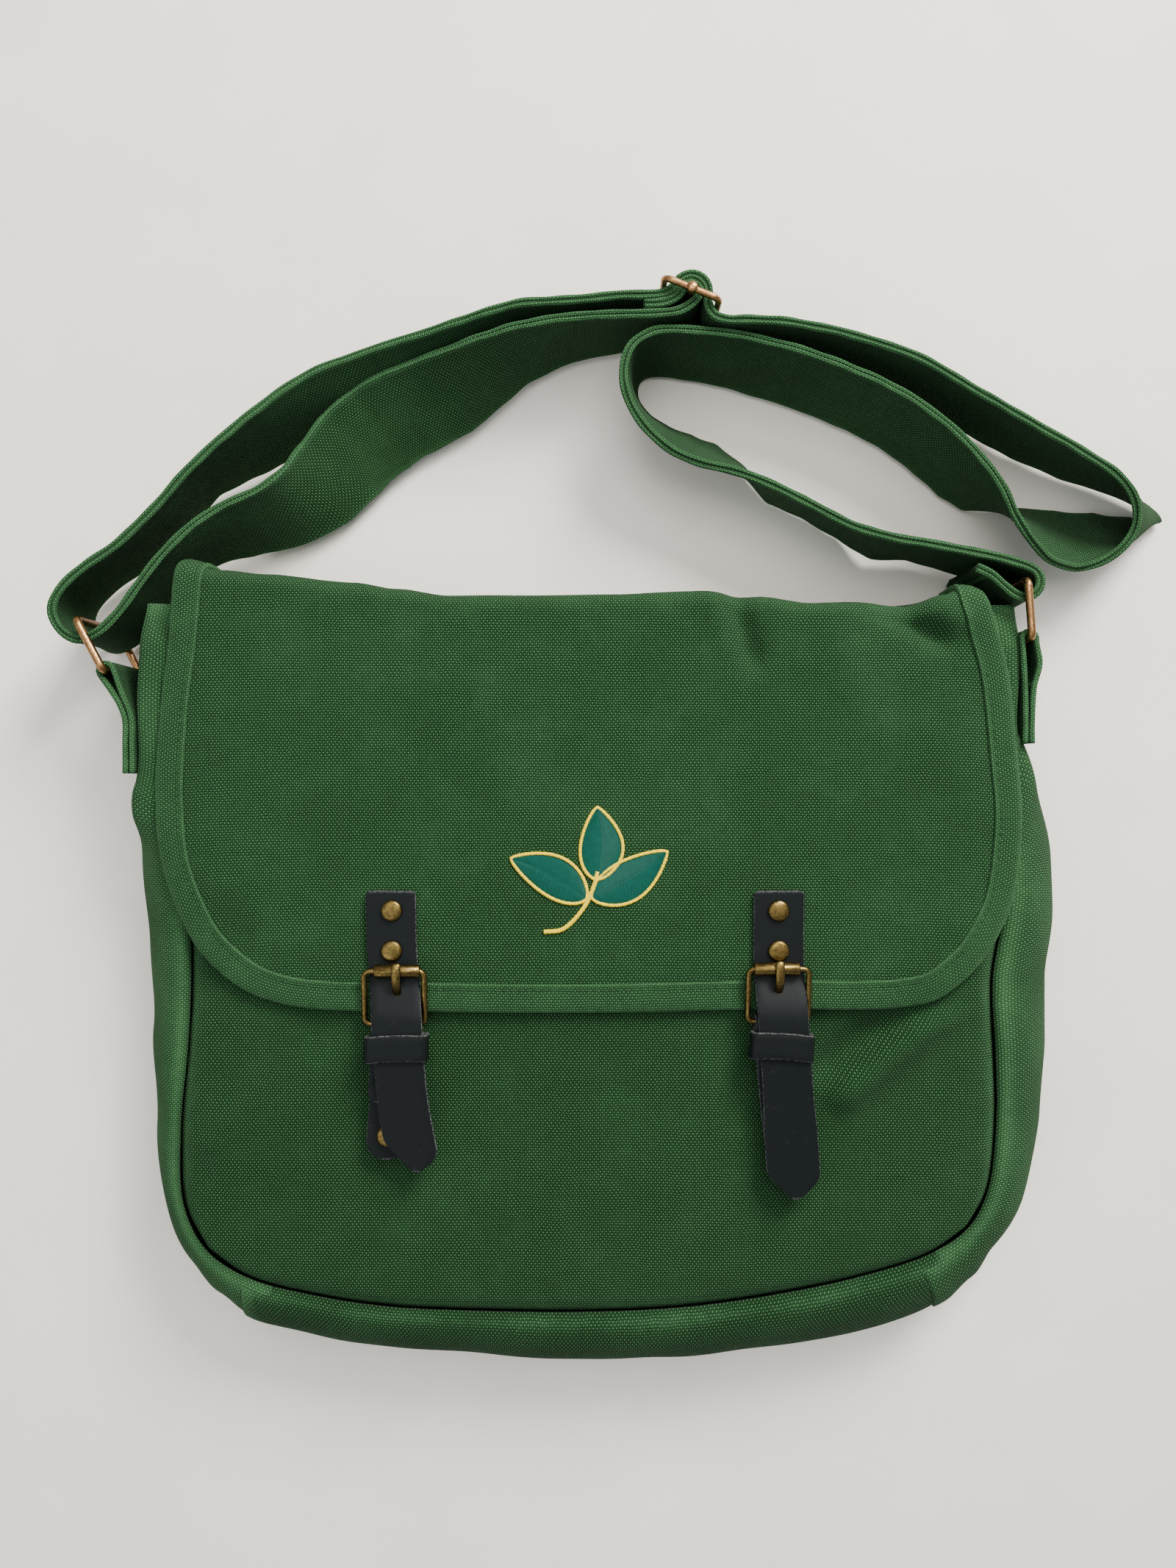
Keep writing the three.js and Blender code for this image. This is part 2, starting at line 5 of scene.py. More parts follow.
import bmesh
import bpy
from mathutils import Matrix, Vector


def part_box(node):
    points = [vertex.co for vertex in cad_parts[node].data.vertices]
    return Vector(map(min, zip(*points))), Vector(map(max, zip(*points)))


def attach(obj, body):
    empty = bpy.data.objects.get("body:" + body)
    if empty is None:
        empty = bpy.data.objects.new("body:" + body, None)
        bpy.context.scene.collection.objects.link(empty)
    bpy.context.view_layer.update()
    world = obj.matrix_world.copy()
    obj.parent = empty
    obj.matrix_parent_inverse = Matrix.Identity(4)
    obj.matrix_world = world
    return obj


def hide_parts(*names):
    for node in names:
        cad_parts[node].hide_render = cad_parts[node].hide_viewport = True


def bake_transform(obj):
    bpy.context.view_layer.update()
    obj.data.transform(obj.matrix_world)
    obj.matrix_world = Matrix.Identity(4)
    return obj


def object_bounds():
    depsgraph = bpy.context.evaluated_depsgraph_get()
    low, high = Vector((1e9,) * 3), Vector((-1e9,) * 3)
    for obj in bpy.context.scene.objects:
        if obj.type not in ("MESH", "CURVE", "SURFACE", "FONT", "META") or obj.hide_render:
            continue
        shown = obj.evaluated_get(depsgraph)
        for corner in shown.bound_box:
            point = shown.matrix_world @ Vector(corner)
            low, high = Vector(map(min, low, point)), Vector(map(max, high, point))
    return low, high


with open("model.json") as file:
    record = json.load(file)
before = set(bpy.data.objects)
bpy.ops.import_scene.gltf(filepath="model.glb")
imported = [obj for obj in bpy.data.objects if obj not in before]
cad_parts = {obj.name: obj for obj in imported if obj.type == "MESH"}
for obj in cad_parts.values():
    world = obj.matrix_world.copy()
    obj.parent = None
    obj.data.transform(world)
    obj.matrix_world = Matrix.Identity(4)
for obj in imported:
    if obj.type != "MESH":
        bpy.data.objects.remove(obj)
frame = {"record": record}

bl_info = {
    "name": "Messenger Bag",
    "version": (1, 0, 0),
    "blender": (4, 5, 0),
    "location": "View3D > Sidebar > Bag",
    "description": "Builds a canvas messenger bag with a bound flap, buckled closures and a folded strap",
    "category": "Add Mesh",
}

MM = 0.001
CAD_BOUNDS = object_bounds()


def node_box(name):
    """The lowest and highest corner of a CAD node, in millimetres."""
    low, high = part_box(name)
    return [c / MM for c in low], [c / MM for c in high]


# Levels and edges read from the frame, in millimetres
FRONT_Z = node_box("front_panel")[1][2]
MOUTH_Y = node_box("front_panel")[1][1]
FLAP_LOW, FLAP_HIGH = node_box("flap_panel")
FLAP_MID = (FLAP_LOW[2] + FLAP_HIGH[2]) / 2
STRAP_FOOT = node_box("ring_tab_left")[0][2]
STRAP_WIDTH = node_box("ring_tab_left")[1][2] - STRAP_FOOT
GUSSET_TOP = 144.0
SIDES = ("left", "right")


def joint_point(name):
    """A joint's point in millimetres."""
    joint = next(j for j in frame["record"]["behaviour"]["joints"] if j["name"] == name)
    return Vector(joint["pos_m"]) / MM


HEEL = {side: joint_point(f"buckle_{side}_lift") for side in SIDES}
ROLLER = {side: joint_point(f"roller_{side}_spin") for side in SIDES}
RING_BAR = {side: joint_point(f"ring_{side}_swing") for side in SIDES}
SLIDER = joint_point("slider_rock")


class BagCloth(bpy.types.PropertyGroup):
    """Colours and scale of the cloth."""
    base: bpy.props.FloatVectorProperty(name="Canvas", description="Dyed canvas colour", subtype="COLOR",
                                        size=4, default=(0.0052, 0.0265, 0.0064, 1))
    # This colour serves rubbed wear and also the painted highlight on the raised yarns and the painted light on the
    # side panels.
    worn_and_lit: bpy.props.FloatVectorProperty(name="Worn canvas", description="Colour where the dye has rubbed off",
                                        subtype="COLOR", size=4, default=(0.082, 0.222, 0.085, 1))
    yarn: bpy.props.FloatProperty(name="Yarn pitch", description="Distance between neighbouring yarns",
                                  default=0.00074, min=0.0003, max=0.003, unit="LENGTH")


class BagMetal(bpy.types.PropertyGroup):
    """Colours of the hardware and leather."""
    brass: bpy.props.FloatVectorProperty(name="Brass", description="Buckle and rivet metal", subtype="COLOR",
                                         size=4, default=(0.24, 0.165, 0.05, 1))
    copper: bpy.props.FloatVectorProperty(name="Copper brass", description="Ring and slider metal",
                                          subtype="COLOR", size=4, default=(0.50, 0.27, 0.11, 1))
    leather: bpy.props.FloatVectorProperty(name="Leather", description="Smooth leather colour", subtype="COLOR",
                                           size=4, default=(0.0066, 0.0084, 0.0088, 1))


class BagCamera(bpy.types.PropertyGroup):
    """Where the camera stands over the bag."""
    height: bpy.props.FloatProperty(name="Height", description="Camera height over the table", default=0.5,
                                    min=0.2, max=3, unit="LENGTH")
    aim_x: bpy.props.FloatProperty(name="Aim X", description="Point under the camera", default=-0.0035,
                                   unit="LENGTH")
    aim_y: bpy.props.FloatProperty(name="Aim Y", description="Point under the camera", default=0.0757,
                                   unit="LENGTH")
    lens: bpy.props.FloatProperty(name="Lens", description="Focal length in millimetres", default=28, min=10,
                                  max=200)


# ---------------------------------------------------------------- curves and cloth maths

def clamp(value, low=0.0, high=1.0):
    return max(low, min(high, value))


def ease(value):
    value = clamp(value)
    return value * value * (3 - 2 * value)


def bump(value, centre, width):
    return math.exp(-((value - centre) / width) ** 2)


def spline(points, t):
    """A centripetal curve through points of any length; t runs from 0 to 1, one point to the next in equal steps."""
    count = len(points) - 1
    s = clamp(t) * count
    i = min(int(s), count - 1)
    f = s - i
    p1, p2 = Vector(points[i]), Vector(points[i + 1])
    p0 = Vector(points[i - 1]) if i > 0 else p1 * 2 - p2
    p3 = Vector(points[i + 2]) if i + 2 <= count else p2 * 2 - p1
    d0 = max((p1 - p0).length, 1e-6) ** 0.5
    d1 = max((p2 - p1).length, 1e-6) ** 0.5
    d2 = max((p3 - p2).length, 1e-6) ** 0.5
    m1 = ((p1 - p0) / d0 - (p2 - p0) / (d0 + d1) + (p2 - p1) / d1) * d1
    m2 = ((p2 - p1) / d1 - (p3 - p1) / (d1 + d2) + (p3 - p2) / d2) * d1
    return (p1 * (2 * f ** 3 - 3 * f * f + 1) + m1 * (f ** 3 - 2 * f * f + f)
            + p2 * (3 * f * f - 2 * f ** 3) + m2 * (f ** 3 - f * f))


class Path:
    """A smooth line sampled evenly by length, in millimetres."""

    def __init__(self, points, samples=600):
        self.dots = [spline(points, i / samples) for i in range(samples + 1)]
        self.reach = [0.0]
        for a, b in zip(self.dots, self.dots[1:]):
            self.reach.append(self.reach[-1] + (b - a).length)
        self.length = self.reach[-1]

    def at(self, t):
        target = clamp(t) * self.length
        low, high = 0, len(self.reach) - 1
        while high - low > 1:
            middle = (low + high) // 2
            if self.reach[middle] <= target:
                low = middle
            else:
                high = middle
        span = max(self.reach[high] - self.reach[low], 1e-9)
        return self.dots[low].lerp(self.dots[high], (target - self.reach[low]) / span)

    def along(self, t, step=0.004):
        return (self.at(t + step) - self.at(t - step)).normalized()


def profile(points, x):
    """A height read from (x, value) pairs, eased between them."""
    if x <= points[0][0]:
        return points[0][1]
    for (x0, v0), (x1, v1) in zip(points, points[1:]):
        if x <= x1:
            return v0 + (v1 - v0) * ease((x - x0) / (x1 - x0))
    return points[-1][1]


# ---------------------------------------------------------------- mesh helpers

def keep(name, mesh, body, material, smooth=True):
    """Turns a finished bmesh into a piece that rides on a CAD body."""
    data = bpy.data.meshes.new(name)
    mesh.to_mesh(data)
    mesh.free()
    if smooth:
        data.shade_smooth()
    piece = bpy.data.objects.new(name, data)
    bpy.context.collection.objects.link(piece)
    data.materials.append(material)
    if body:
        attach(piece, body)
    return piece


def mapped_grid(columns, rows, place, weave=None, wear=None, closed_across=False, closed_along=False, flip=False):
    """A grid laid over a surface. place, weave and wear take (u, v) from 0 to 1; lengths are millimetres."""
    mesh = bmesh.new()
    bmesh.ops.create_grid(mesh, x_segments=columns, y_segments=rows, size=0.5)
    uv = mesh.loops.layers.uv.new("weave")
    rub = mesh.verts.layers.float.new("wear")
    spot = {vert: (clamp(vert.co.x + 0.5), clamp(vert.co.y + 0.5)) for vert in mesh.verts}
    if weave:
        for face in mesh.faces:
            for loop in face.loops:
                a, b = weave(*spot[loop.vert])
                loop[uv].uv = (a * MM, b * MM)
    for vert, (u, v) in spot.items():
        vert[rub] = wear(u, v) if wear else 0.0
        vert.co = Vector(place(u, v)) * MM
    if closed_across or closed_along:
        bmesh.ops.remove_doubles(mesh, verts=mesh.verts, dist=1e-6)
    if flip:
        bmesh.ops.reverse_faces(mesh, faces=mesh.faces)
    return mesh


def thicken(piece, thickness, offset=0.0):
    """Cloth thickness, with rounded edges left to the surface itself."""
    wall = piece.modifiers.new("thickness", "SOLIDIFY")
    wall.thickness = thickness * MM
    wall.offset = offset
    wall.use_rim = True
    wall.use_even_offset = False
    return piece


def rounded_loop(width, height, corner, steps=6):
    """Points round a rectangle with rounded corners, in its own (x, z) plane."""
    points = []
    for sx, sz, start in ((1, 1, 0), (-1, 1, 90), (-1, -1, 180), (1, -1, 270)):
        for k in range(steps + 1):
            angle = math.radians(start + 90 * k / steps)
            points.append(Vector((sx * (width / 2 - corner) + corner * math.cos(angle), 0,
                                  sz * (height / 2 - corner) + corner * math.sin(angle))))
    dense = []
    for a, b in zip(points, points[1:] + points[:1]):
        pieces = max(1, int((b - a).length / 1.6))
        dense.extend(a.lerp(b, k / pieces) for k in range(pieces))
    return dense


def turned_mesh(profile_points, segments=40, centre=(0, 0)):
    """A piece turned about Z from (radius, z) points, in millimetres."""
    mesh = bmesh.new()
    verts = [mesh.verts.new(((centre[0] + r) * MM, centre[1] * MM, z * MM)) for r, z in profile_points]
    edges = [mesh.edges.new(pair) for pair in zip(verts, verts[1:])]
    bmesh.ops.spin(mesh, geom=verts + edges, cent=(centre[0] * MM, centre[1] * MM, 0), axis=(0, 0, 1),
                   angle=2 * math.pi, steps=segments, use_merge=True)
    bmesh.ops.remove_doubles(mesh, verts=mesh.verts, dist=1e-7)
    bmesh.ops.recalc_face_normals(mesh, faces=mesh.faces)
    return mesh


def join_into(target, other):
    """Adds one bmesh to another."""
    data = bpy.data.meshes.new("part")
    other.to_mesh(data)
    other.free()
    target.from_mesh(data)
    bpy.data.meshes.remove(data)


# ---------------------------------------------------------------- shader groups and materials

def maths(tree, kind, first, second=None):
    """A Math node; inputs may be sockets or numbers."""
    node = tree.nodes.new("ShaderNodeMath")
    node.operation = kind
    for slot_index, value in enumerate((first, second)):
        if value is None:
            continue
        if isinstance(value, (int, float)):
            node.inputs[slot_index].default_value = value
        else:
            tree.links.new(value, node.inputs[slot_index])
    return node.outputs[0]


def mixed(tree, factor, first, second):
    """A colour mix; inputs may be sockets or colours."""
    node = tree.nodes.new("ShaderNodeMix")
    node.data_type = "RGBA"
    for name, value in ((0, factor), (6, first), (7, second)):
        if hasattr(value, "is_output"):
            tree.links.new(value, node.inputs[name])
        elif name:
            node.inputs[name].default_value = tuple(value)
        else:
            node.inputs[name].default_value = value
    return node.outputs[2]


def noise(tree, vector, scale, detail=3.0, roughness=0.55):
    node = tree.nodes.new("ShaderNodeTexNoise")
    node.inputs["Scale"].default_value = scale
    node.inputs["Detail"].default_value = detail
    node.inputs["Roughness"].default_value = roughness
    tree.links.new(vector, node.inputs["Vector"])
    return node.outputs[0]


def ramp(tree, value, low, high, to_low=0.0, to_high=1.0):
    node = tree.nodes.new("ShaderNodeMapRange")
    node.interpolation_type = "SMOOTHSTEP"
    tree.links.new(value, node.inputs["Value"])
    for name, number in (("From Min", low), ("From Max", high), ("To Min", to_low), ("To Max", to_high)):
        node.inputs[name].default_value = number
    return node.outputs["Result"]


def new_group(name, inputs, outputs):
    """An empty shader group with named sockets."""
    group = bpy.data.node_groups.new(name, "ShaderNodeTree")
    for label, kind, default in inputs:
        socket = group.interface.new_socket(name=label, in_out="INPUT", socket_type=kind)
        if default is not None:
            socket.default_value = default
    for label, kind in outputs:
        group.interface.new_socket(name=label, in_out="OUTPUT", socket_type=kind)
    return group, group.nodes.new("NodeGroupInput"), group.nodes.new("NodeGroupOutput")


def plain_weave():
    """Plain weave: raised crossings of two sets of yarns. Gives its height and which set is on top."""
    name = "plain_weave"
    if name in bpy.data.node_groups:
        return bpy.data.node_groups[name]
    group, source, sink = new_group(
        name, (("Vector", "NodeSocketVector", None), ("Pitch", "NodeSocketFloat", 0.0007)),
        (("Height", "NodeSocketFloat"), ("Warp", "NodeSocketFloat"), ("Slub", "NodeSocketFloat")))
    wander = group.nodes.new("ShaderNodeTexNoise")
    wander.inputs["Scale"].default_value = 170
    wander.inputs["Detail"].default_value = 1
    group.links.new(source.outputs["Vector"], wander.inputs["Vector"])
    split = group.nodes.new("ShaderNodeSeparateXYZ")
    group.links.new(source.outputs["Vector"], split.inputs[0])
    sway = maths(group, "MULTIPLY", maths(group, "SUBTRACT", wander.outputs[0], 0.5), 0.9)
    waves = []
    for axis, stretch in ((0, 1.0), (1, 0.76)):
        count = maths(group, "DIVIDE", split.outputs[axis], source.outputs["Pitch"])
        count = maths(group, "MULTIPLY", count, stretch)
        waves.append(maths(group, "SINE", maths(group, "MULTIPLY", maths(group, "ADD", count, sway), math.pi)))
    cell = maths(group, "MULTIPLY", waves[0], waves[1])
    pad = maths(group, "POWER", maths(group, "ABSOLUTE", cell), 0.55)
    warp = maths(group, "ADD", maths(group, "MULTIPLY", cell, 0.5), 0.5)
    slub = noise(group, source.outputs["Vector"], 420, 2.0)
    height = maths(group, "ADD", maths(group, "MULTIPLY", pad, 0.8), maths(group, "MULTIPLY", slub, 0.25))
    group.links.new(height, sink.inputs["Height"])
    group.links.new(warp, sink.inputs["Warp"])
    group.links.new(slub, sink.inputs["Slub"])
    return group


def canvas_material(name, tone_and_painted_light=0.0):
    """Washed plain-weave canvas. The tone shift moves the whole piece towards its paler colour, away from it when
    negative: a paler tone of its own for the stitching thread, painted light on the side panels and painted shade on
    the front and underside.
    """
    settings = bpy.context.scene.bag_cloth
    material = bpy.data.materials.new(name)
    material.use_nodes = True
    tree = material.node_tree
    shader = tree.nodes["Principled BSDF"]
    uv = tree.nodes.new("ShaderNodeUVMap")
    uv.uv_map = "weave"
    weave = tree.nodes.new("ShaderNodeGroup")
    weave.node_tree = plain_weave()
    weave.inputs["Pitch"].default_value = settings.yarn
    tree.links.new(uv.outputs[0], weave.inputs["Vector"])
    place = tree.nodes.new("ShaderNodeTexCoord").outputs["Object"]
    wear = tree.nodes.new("ShaderNodeAttribute")
    wear.attribute_name = "wear"
    cloud = ramp(tree, noise(tree, place, 22, 4.0, 0.6), 0.35, 0.7)
    fade = ramp(tree, noise(tree, place, 75, 4.0, 0.65), 0.4, 0.75)
    streak = noise(tree, place, 320, 2.0)
    rub = maths(tree, "MULTIPLY", wear.outputs["Fac"], maths(tree, "ADD", streak, 0.35))
    # Painted highlight on the weave: every raised yarn crossing is painted lighter, and the warp crossings most of
    # all.
    top = ramp(tree, weave.outputs["Height"], 0.35, 0.95)
    warp = ramp(tree, weave.outputs["Warp"], 0.42, 0.80)
    lit = maths(tree, "MULTIPLY", top, warp)
    amount = maths(tree, "ADD", maths(tree, "MULTIPLY", top, 0.14), maths(tree, "MULTIPLY", lit, 0.50))
    amount = maths(tree, "ADD", amount, maths(tree, "MULTIPLY", cloud, 0.05))
    amount = maths(tree, "ADD", amount, maths(tree, "MULTIPLY", fade, 0.05))
    amount = maths(tree, "ADD", amount, maths(tree, "MULTIPLY", rub, 0.62))
    # The whole-piece tone shift: a paler tone of its own for the stitching thread, painted light on the side panels,
    # painted shade on the front and underside.
    amount = maths(tree, "ADD", amount, tone_and_painted_light - 0.03)
    node = maths(tree, "MINIMUM", maths(tree, "MAXIMUM", amount, 0.0), 1.0)
    colour = mixed(tree, node, settings.base, settings.worn_and_lit)
    tree.links.new(colour, shader.inputs["Base Color"])
    shader.inputs["Roughness"].default_value = 0.92
    shader.inputs["Specular IOR Level"].default_value = 0.08
    shader.inputs["Sheen Weight"].default_value = 0.02
    shader.inputs["Sheen Roughness"].default_value = 0.6
    relief = tree.nodes.new("ShaderNodeBump")
    relief.inputs["Distance"].default_value = 0.0005
    relief.inputs["Strength"].default_value = 1.0
    tree.links.new(weave.outputs["Height"], relief.inputs["Height"])
    tree.links.new(relief.outputs[0], shader.inputs["Normal"])
    return material


def metal_material(name, colour):
    """Antiqued brass: darkened in broad noise stains and fine specks."""
    material = bpy.data.materials.new(name)
    material.use_nodes = True
    tree = material.node_tree
    shader = tree.nodes["Principled BSDF"]
    place = tree.nodes.new("ShaderNodeTexCoord").outputs["Object"]
    stain = ramp(tree, noise(tree, place, 300, 5.0, 0.7), 0.35, 0.7)
    speck = ramp(tree, noise(tree, place, 1500, 2.0), 0.3, 0.6)
    dark = tuple(channel * 0.34 for channel in colour[:3]) + (1,)
    patina = maths(tree, "MULTIPLY", maths(tree, "ADD", maths(tree, "MULTIPLY", stain, 0.6), 0.4), speck)
    tree.links.new(mixed(tree, patina, dark, tuple(colour)), shader.inputs["Base Color"])
    shader.inputs["Metallic"].default_value = 1.0
    tree.links.new(ramp(tree, stain, 0.0, 1.0, 0.42, 0.24), shader.inputs["Roughness"])
    relief = tree.nodes.new("ShaderNodeBump")
    relief.inputs["Distance"].default_value = 0.00006
    relief.inputs["Strength"].default_value = 0.35
    tree.links.new(noise(tree, place, 2200, 2.0), relief.inputs["Height"])
    tree.links.new(relief.outputs[0], shader.inputs["Normal"])
    return material


def leather_material(name):
    """Smooth dark leather with a fine grain, faint scuffs and raw, paler cut edges."""
    settings = bpy.context.scene.bag_metal
    material = bpy.data.materials.new(name)
    material.use_nodes = True
    tree = material.node_tree
    shader = tree.nodes["Principled BSDF"]
    place = tree.nodes.new("ShaderNodeTexCoord").outputs["Object"]
    wear = tree.nodes.new("ShaderNodeAttribute")
    wear.attribute_name = "wear"
    scuff = ramp(tree, noise(tree, place, 260, 6.0, 0.7), 0.6, 0.85)
    fuzz = ramp(tree, noise(tree, place, 1400, 3.0), 0.35, 0.65)
    edge = maths(tree, "MULTIPLY", wear.outputs["Fac"], fuzz)
    amount = maths(tree, "ADD", maths(tree, "MULTIPLY", scuff, 0.12), maths(tree, "MULTIPLY", edge, 0.8))
    tree.links.new(mixed(tree, amount, settings.leather, (0.16, 0.165, 0.16, 1)), shader.inputs["Base Color"])
    rough = maths(tree, "ADD", maths(tree, "MULTIPLY", scuff, 0.2), maths(tree, "MULTIPLY", edge, 0.4))
    tree.links.new(maths(tree, "ADD", rough, 0.40), shader.inputs["Roughness"])
    shader.inputs["Specular IOR Level"].default_value = 0.08
    pebble = tree.nodes.new("ShaderNodeTexVoronoi")
    pebble.inputs["Scale"].default_value = 1300
    tree.links.new(place, pebble.inputs["Vector"])
    relief = tree.nodes.new("ShaderNodeBump")
    relief.inputs["Distance"].default_value = 0.00008
    relief.inputs["Strength"].default_value = 0.22
    tree.links.new(pebble.outputs["Distance"], relief.inputs["Height"])
    tree.links.new(relief.outputs[0], shader.inputs["Normal"])
    return material


def thread_material(name, colour, painted_groove_shade, runs=1700.0):
    """Satin stitch: close shiny threads along the piece's own V direction, each painted light on its ridge and painted
    shade in the groove beside it.
    """
    material = bpy.data.materials.new(name)
    material.use_nodes = True
    tree = material.node_tree
    shader = tree.nodes["Principled BSDF"]
    uv = tree.nodes.new("ShaderNodeUVMap")
    uv.uv_map = "weave"
    split = tree.nodes.new("ShaderNodeSeparateXYZ")
    tree.links.new(uv.outputs[0], split.inputs[0])
    wave = maths(tree, "SINE", maths(tree, "MULTIPLY", split.outputs[1], runs * math.pi * 2))
    ridge = maths(tree, "ADD", maths(tree, "MULTIPLY", wave, 0.5), 0.5)
    place = tree.nodes.new("ShaderNodeTexCoord").outputs["Object"]
    # Painted shade in the grooves between threads and painted light on their ridges, broken up by noise.
    shade = maths(tree, "MULTIPLY", ridge, maths(tree, "ADD", noise(tree, place, 500, 2.0), 0.4))
    tree.links.new(mixed(tree, shade, painted_groove_shade, colour), shader.inputs["Base Color"])
    shader.inputs["Roughness"].default_value = 0.5
    shader.inputs["Specular IOR Level"].default_value = 0.12
    relief = tree.nodes.new("ShaderNodeBump")
    relief.inputs["Distance"].default_value = 0.0002
    relief.inputs["Strength"].default_value = 0.5
    tree.links.new(ridge, relief.inputs["Height"])
    tree.links.new(relief.outputs[0], shader.inputs["Normal"])
    return material


def table_material():
    """Pale cloth on the table, with a faint mottle."""
    material = bpy.data.materials.new("table_cloth")
    material.use_nodes = True
    tree = material.node_tree
    shader = tree.nodes["Principled BSDF"]
    place = tree.nodes.new("ShaderNodeTexCoord").outputs["Object"]
    mottle = ramp(tree, noise(tree, place, 18, 4.0), 0.3, 0.7)
    tree.links.new(mixed(tree, mottle, (0.94, 0.87, 0.77, 1), (0.97, 0.92, 0.83, 1)), shader.inputs["Base Color"])
    shader.inputs["Roughness"].default_value = 0.9
    relief = tree.nodes.new("ShaderNodeBump")
    relief.inputs["Distance"].default_value = 0.0006
    relief.inputs["Strength"].default_value = 0.25
    tree.links.new(noise(tree, place, 900, 2.0), relief.inputs["Height"])
    tree.links.new(relief.outputs[0], shader.inputs["Normal"])
    return material


MADE = {}


def material_of(kind):
    """Each finish is made once."""
    metal = bpy.context.scene.bag_metal
    recipes = {
        "canvas": lambda: canvas_material("washed_canvas"),
        "binding": lambda: canvas_material("binding_canvas", tone_and_painted_light=0.02),
        "webbing": lambda: canvas_material("strap_canvas", tone_and_painted_light=0.0),
        # The front, side and underside canvases are one canvas shifted in tone: painted shade darkens the front and
        # the underside, and painted light lifts the two sides.
        "front": lambda: canvas_material("front_canvas_painted_shade", tone_and_painted_light=-0.035),
        "left_side": lambda: canvas_material("left_side_canvas_painted_light", tone_and_painted_light=0.08),
        "right_side": lambda: canvas_material("right_side_canvas_painted_light", tone_and_painted_light=0.05),
        "underside": lambda: canvas_material("underside_canvas_painted_shade", tone_and_painted_light=-0.13),
        "stitching": lambda: canvas_material("stitch_thread", tone_and_painted_light=0.25),
        "leather": lambda: leather_material("smooth_leather"),
        "brass": lambda: metal_material("antique_brass", metal.brass),
        "copper": lambda: metal_material("copper_brass", metal.copper),
        # The second colour of each thread is the painted shade in the grooves between its threads.
        "satin": lambda: thread_material("satin_thread", (0.002, 0.105, 0.070, 1), (0.001, 0.034, 0.025, 1)),
        "outline": lambda: thread_material("outline_thread", (1.0, 0.76, 0.012, 1), (0.80, 0.52, 0.01, 1), 900.0),
        "table": table_material,
    }
    if kind not in MADE:
        MADE[kind] = recipes[kind]()
    return MADE[kind]


# ---------------------------------------------------------------- bag body

# The sewn edge of the front and back, from the top left round the bottom to the top right
SEAM = [(-152, 144, 0), (-153.2, 110, 0), (-152.8, 79, 0), (-156, 61, 0), (-156, 46, 0), (-153.6, 16, 0),
        (-154.5, -20, 0), (-157.5, -55, 0), (-156.3, -84, 0), (-148, -100.5, 0), (-132.5, -111, 0),
        (-106, -118, 0), (-79, -122, 0), (-45, -123.6, 0), (-3.5, -124, 0), (35, -122, 0), (70, -117, 0),
        (100, -110.5, 0), (126, -102, 0), (140.5, -92, 0), (147.7, -78, 0), (151, -50, 0), (150.5, -24, 0),
        (149.5, 2, 0), (153, 24, 0), (154, 45, 0), (148.5, 70, 0), (138.4, 89, 0), (138, 118, 0), (138, 144, 0)]
CORNER_LEFT = 9
CORNER_RIGHT = 19
SEAM_SPANS = len(SEAM) - 1


def cut_at(points, level):
    """The points below a level, with one added where the line crosses it."""
    kept = []
    for a, b in zip(points, points[1:]):
        if (a[1] - level) * (b[1] - level) < 0:
            share = (level - a[1]) / (b[1] - a[1])
            kept.append(tuple(p + (q - p) * share for p, q in zip(a, b)))
        if b[1] <= level:
            kept.append(b)
    if points[0][1] <= level:
        kept.insert(0, points[0])
    return kept


class Patch:
    """A sheet stretched between a left, right, top and bottom edge."""

    def __init__(self, left, bottom, right, top=None):
        self.left, self.right, self.bottom = Path(left), Path(right), Path(bottom)
        self.top = top or Path([left[0], tuple((a + b) / 2 for a, b in zip(left[0], right[0])), right[0]])

    def at(self, u, v):
        """u runs left to right, v from the bottom edge to the top edge."""
        low, high = self.bottom.at(u), self.top.at(u)
        left, right = self.left.at(1 - v), self.right.at(1 - v)
        flat = ((self.bottom.at(0) * (1 - u) + self.bottom.at(1) * u) * (1 - v)
                + (self.top.at(0) * (1 - u) + self.top.at(1) * u) * v)
        return low * (1 - v) + high * v + left * (1 - u) + right * u - flat


def panel_patch(level):
    left = cut_at(SEAM[:CORNER_LEFT + 1][::-1], level)[::-1]
    right = cut_at(SEAM[CORNER_RIGHT:], level)
    return Patch(left, SEAM[CORNER_LEFT:CORNER_RIGHT + 1], right[::-1])


def edge_gap(u, v, wide, high):
    """Rough distance in millimetres from the sewn edge, not counting the top."""
    return min(u * wide, (1 - u) * wide, v * high)


def line_fold(x, y, ax, ay, bx, by, width, height):
    """A soft ridge (or valley, for a negative height) along a line, fading at its ends."""
    dx, dy = bx - ax, by - ay
    reach = math.hypot(dx, dy)
    along = ((x - ax) * dx + (y - ay) * dy) / reach
    side = ((x - ax) * dy - (y - ay) * dx) / reach
    fade = ease(along / 14 + 0.5) * ease((reach - along) / 14 + 0.5)
    return height * math.exp(-(side / width) ** 2) * fade


def front_height(x, y):
    lift = 0.35 * math.sin(x / 31 + y / 53) + 0.25 * math.sin(y / 19 - x / 70 + 1)
    lift += line_fold(x, y, 140, 0, 90, -44, 7, 6.0)
    lift += line_fold(x, y, 122, -2, 84, -34, 7, -5.0)
    lift += line_fold(x, y, 60, -50, 44, -112, 10, 1.4)
    lift += line_fold(x, y, 46, -28, 22, -112, 9, 1.1)
    lift += line_fold(x, y, -8, -30, -20, -115, 8, 1.0)
    lift += line_fold(x, y, -100, -14, -140, -44, 8, -1.8) + line_fold(x, y, -112, -24, -148, -64, 7, 1.6)
    lift += line_fold(x, y, 128, -76, 142, -24, 6, 1.2)
    lift -= 1.1 * bump(x, CLOSURE_X["left"], 26) * bump(y, -40, 40)
    lift -= 1.1 * bump(x, CLOSURE_X["right"], 26) * bump(y, -46, 40)
    return lift * ease((y + 123) / 14)


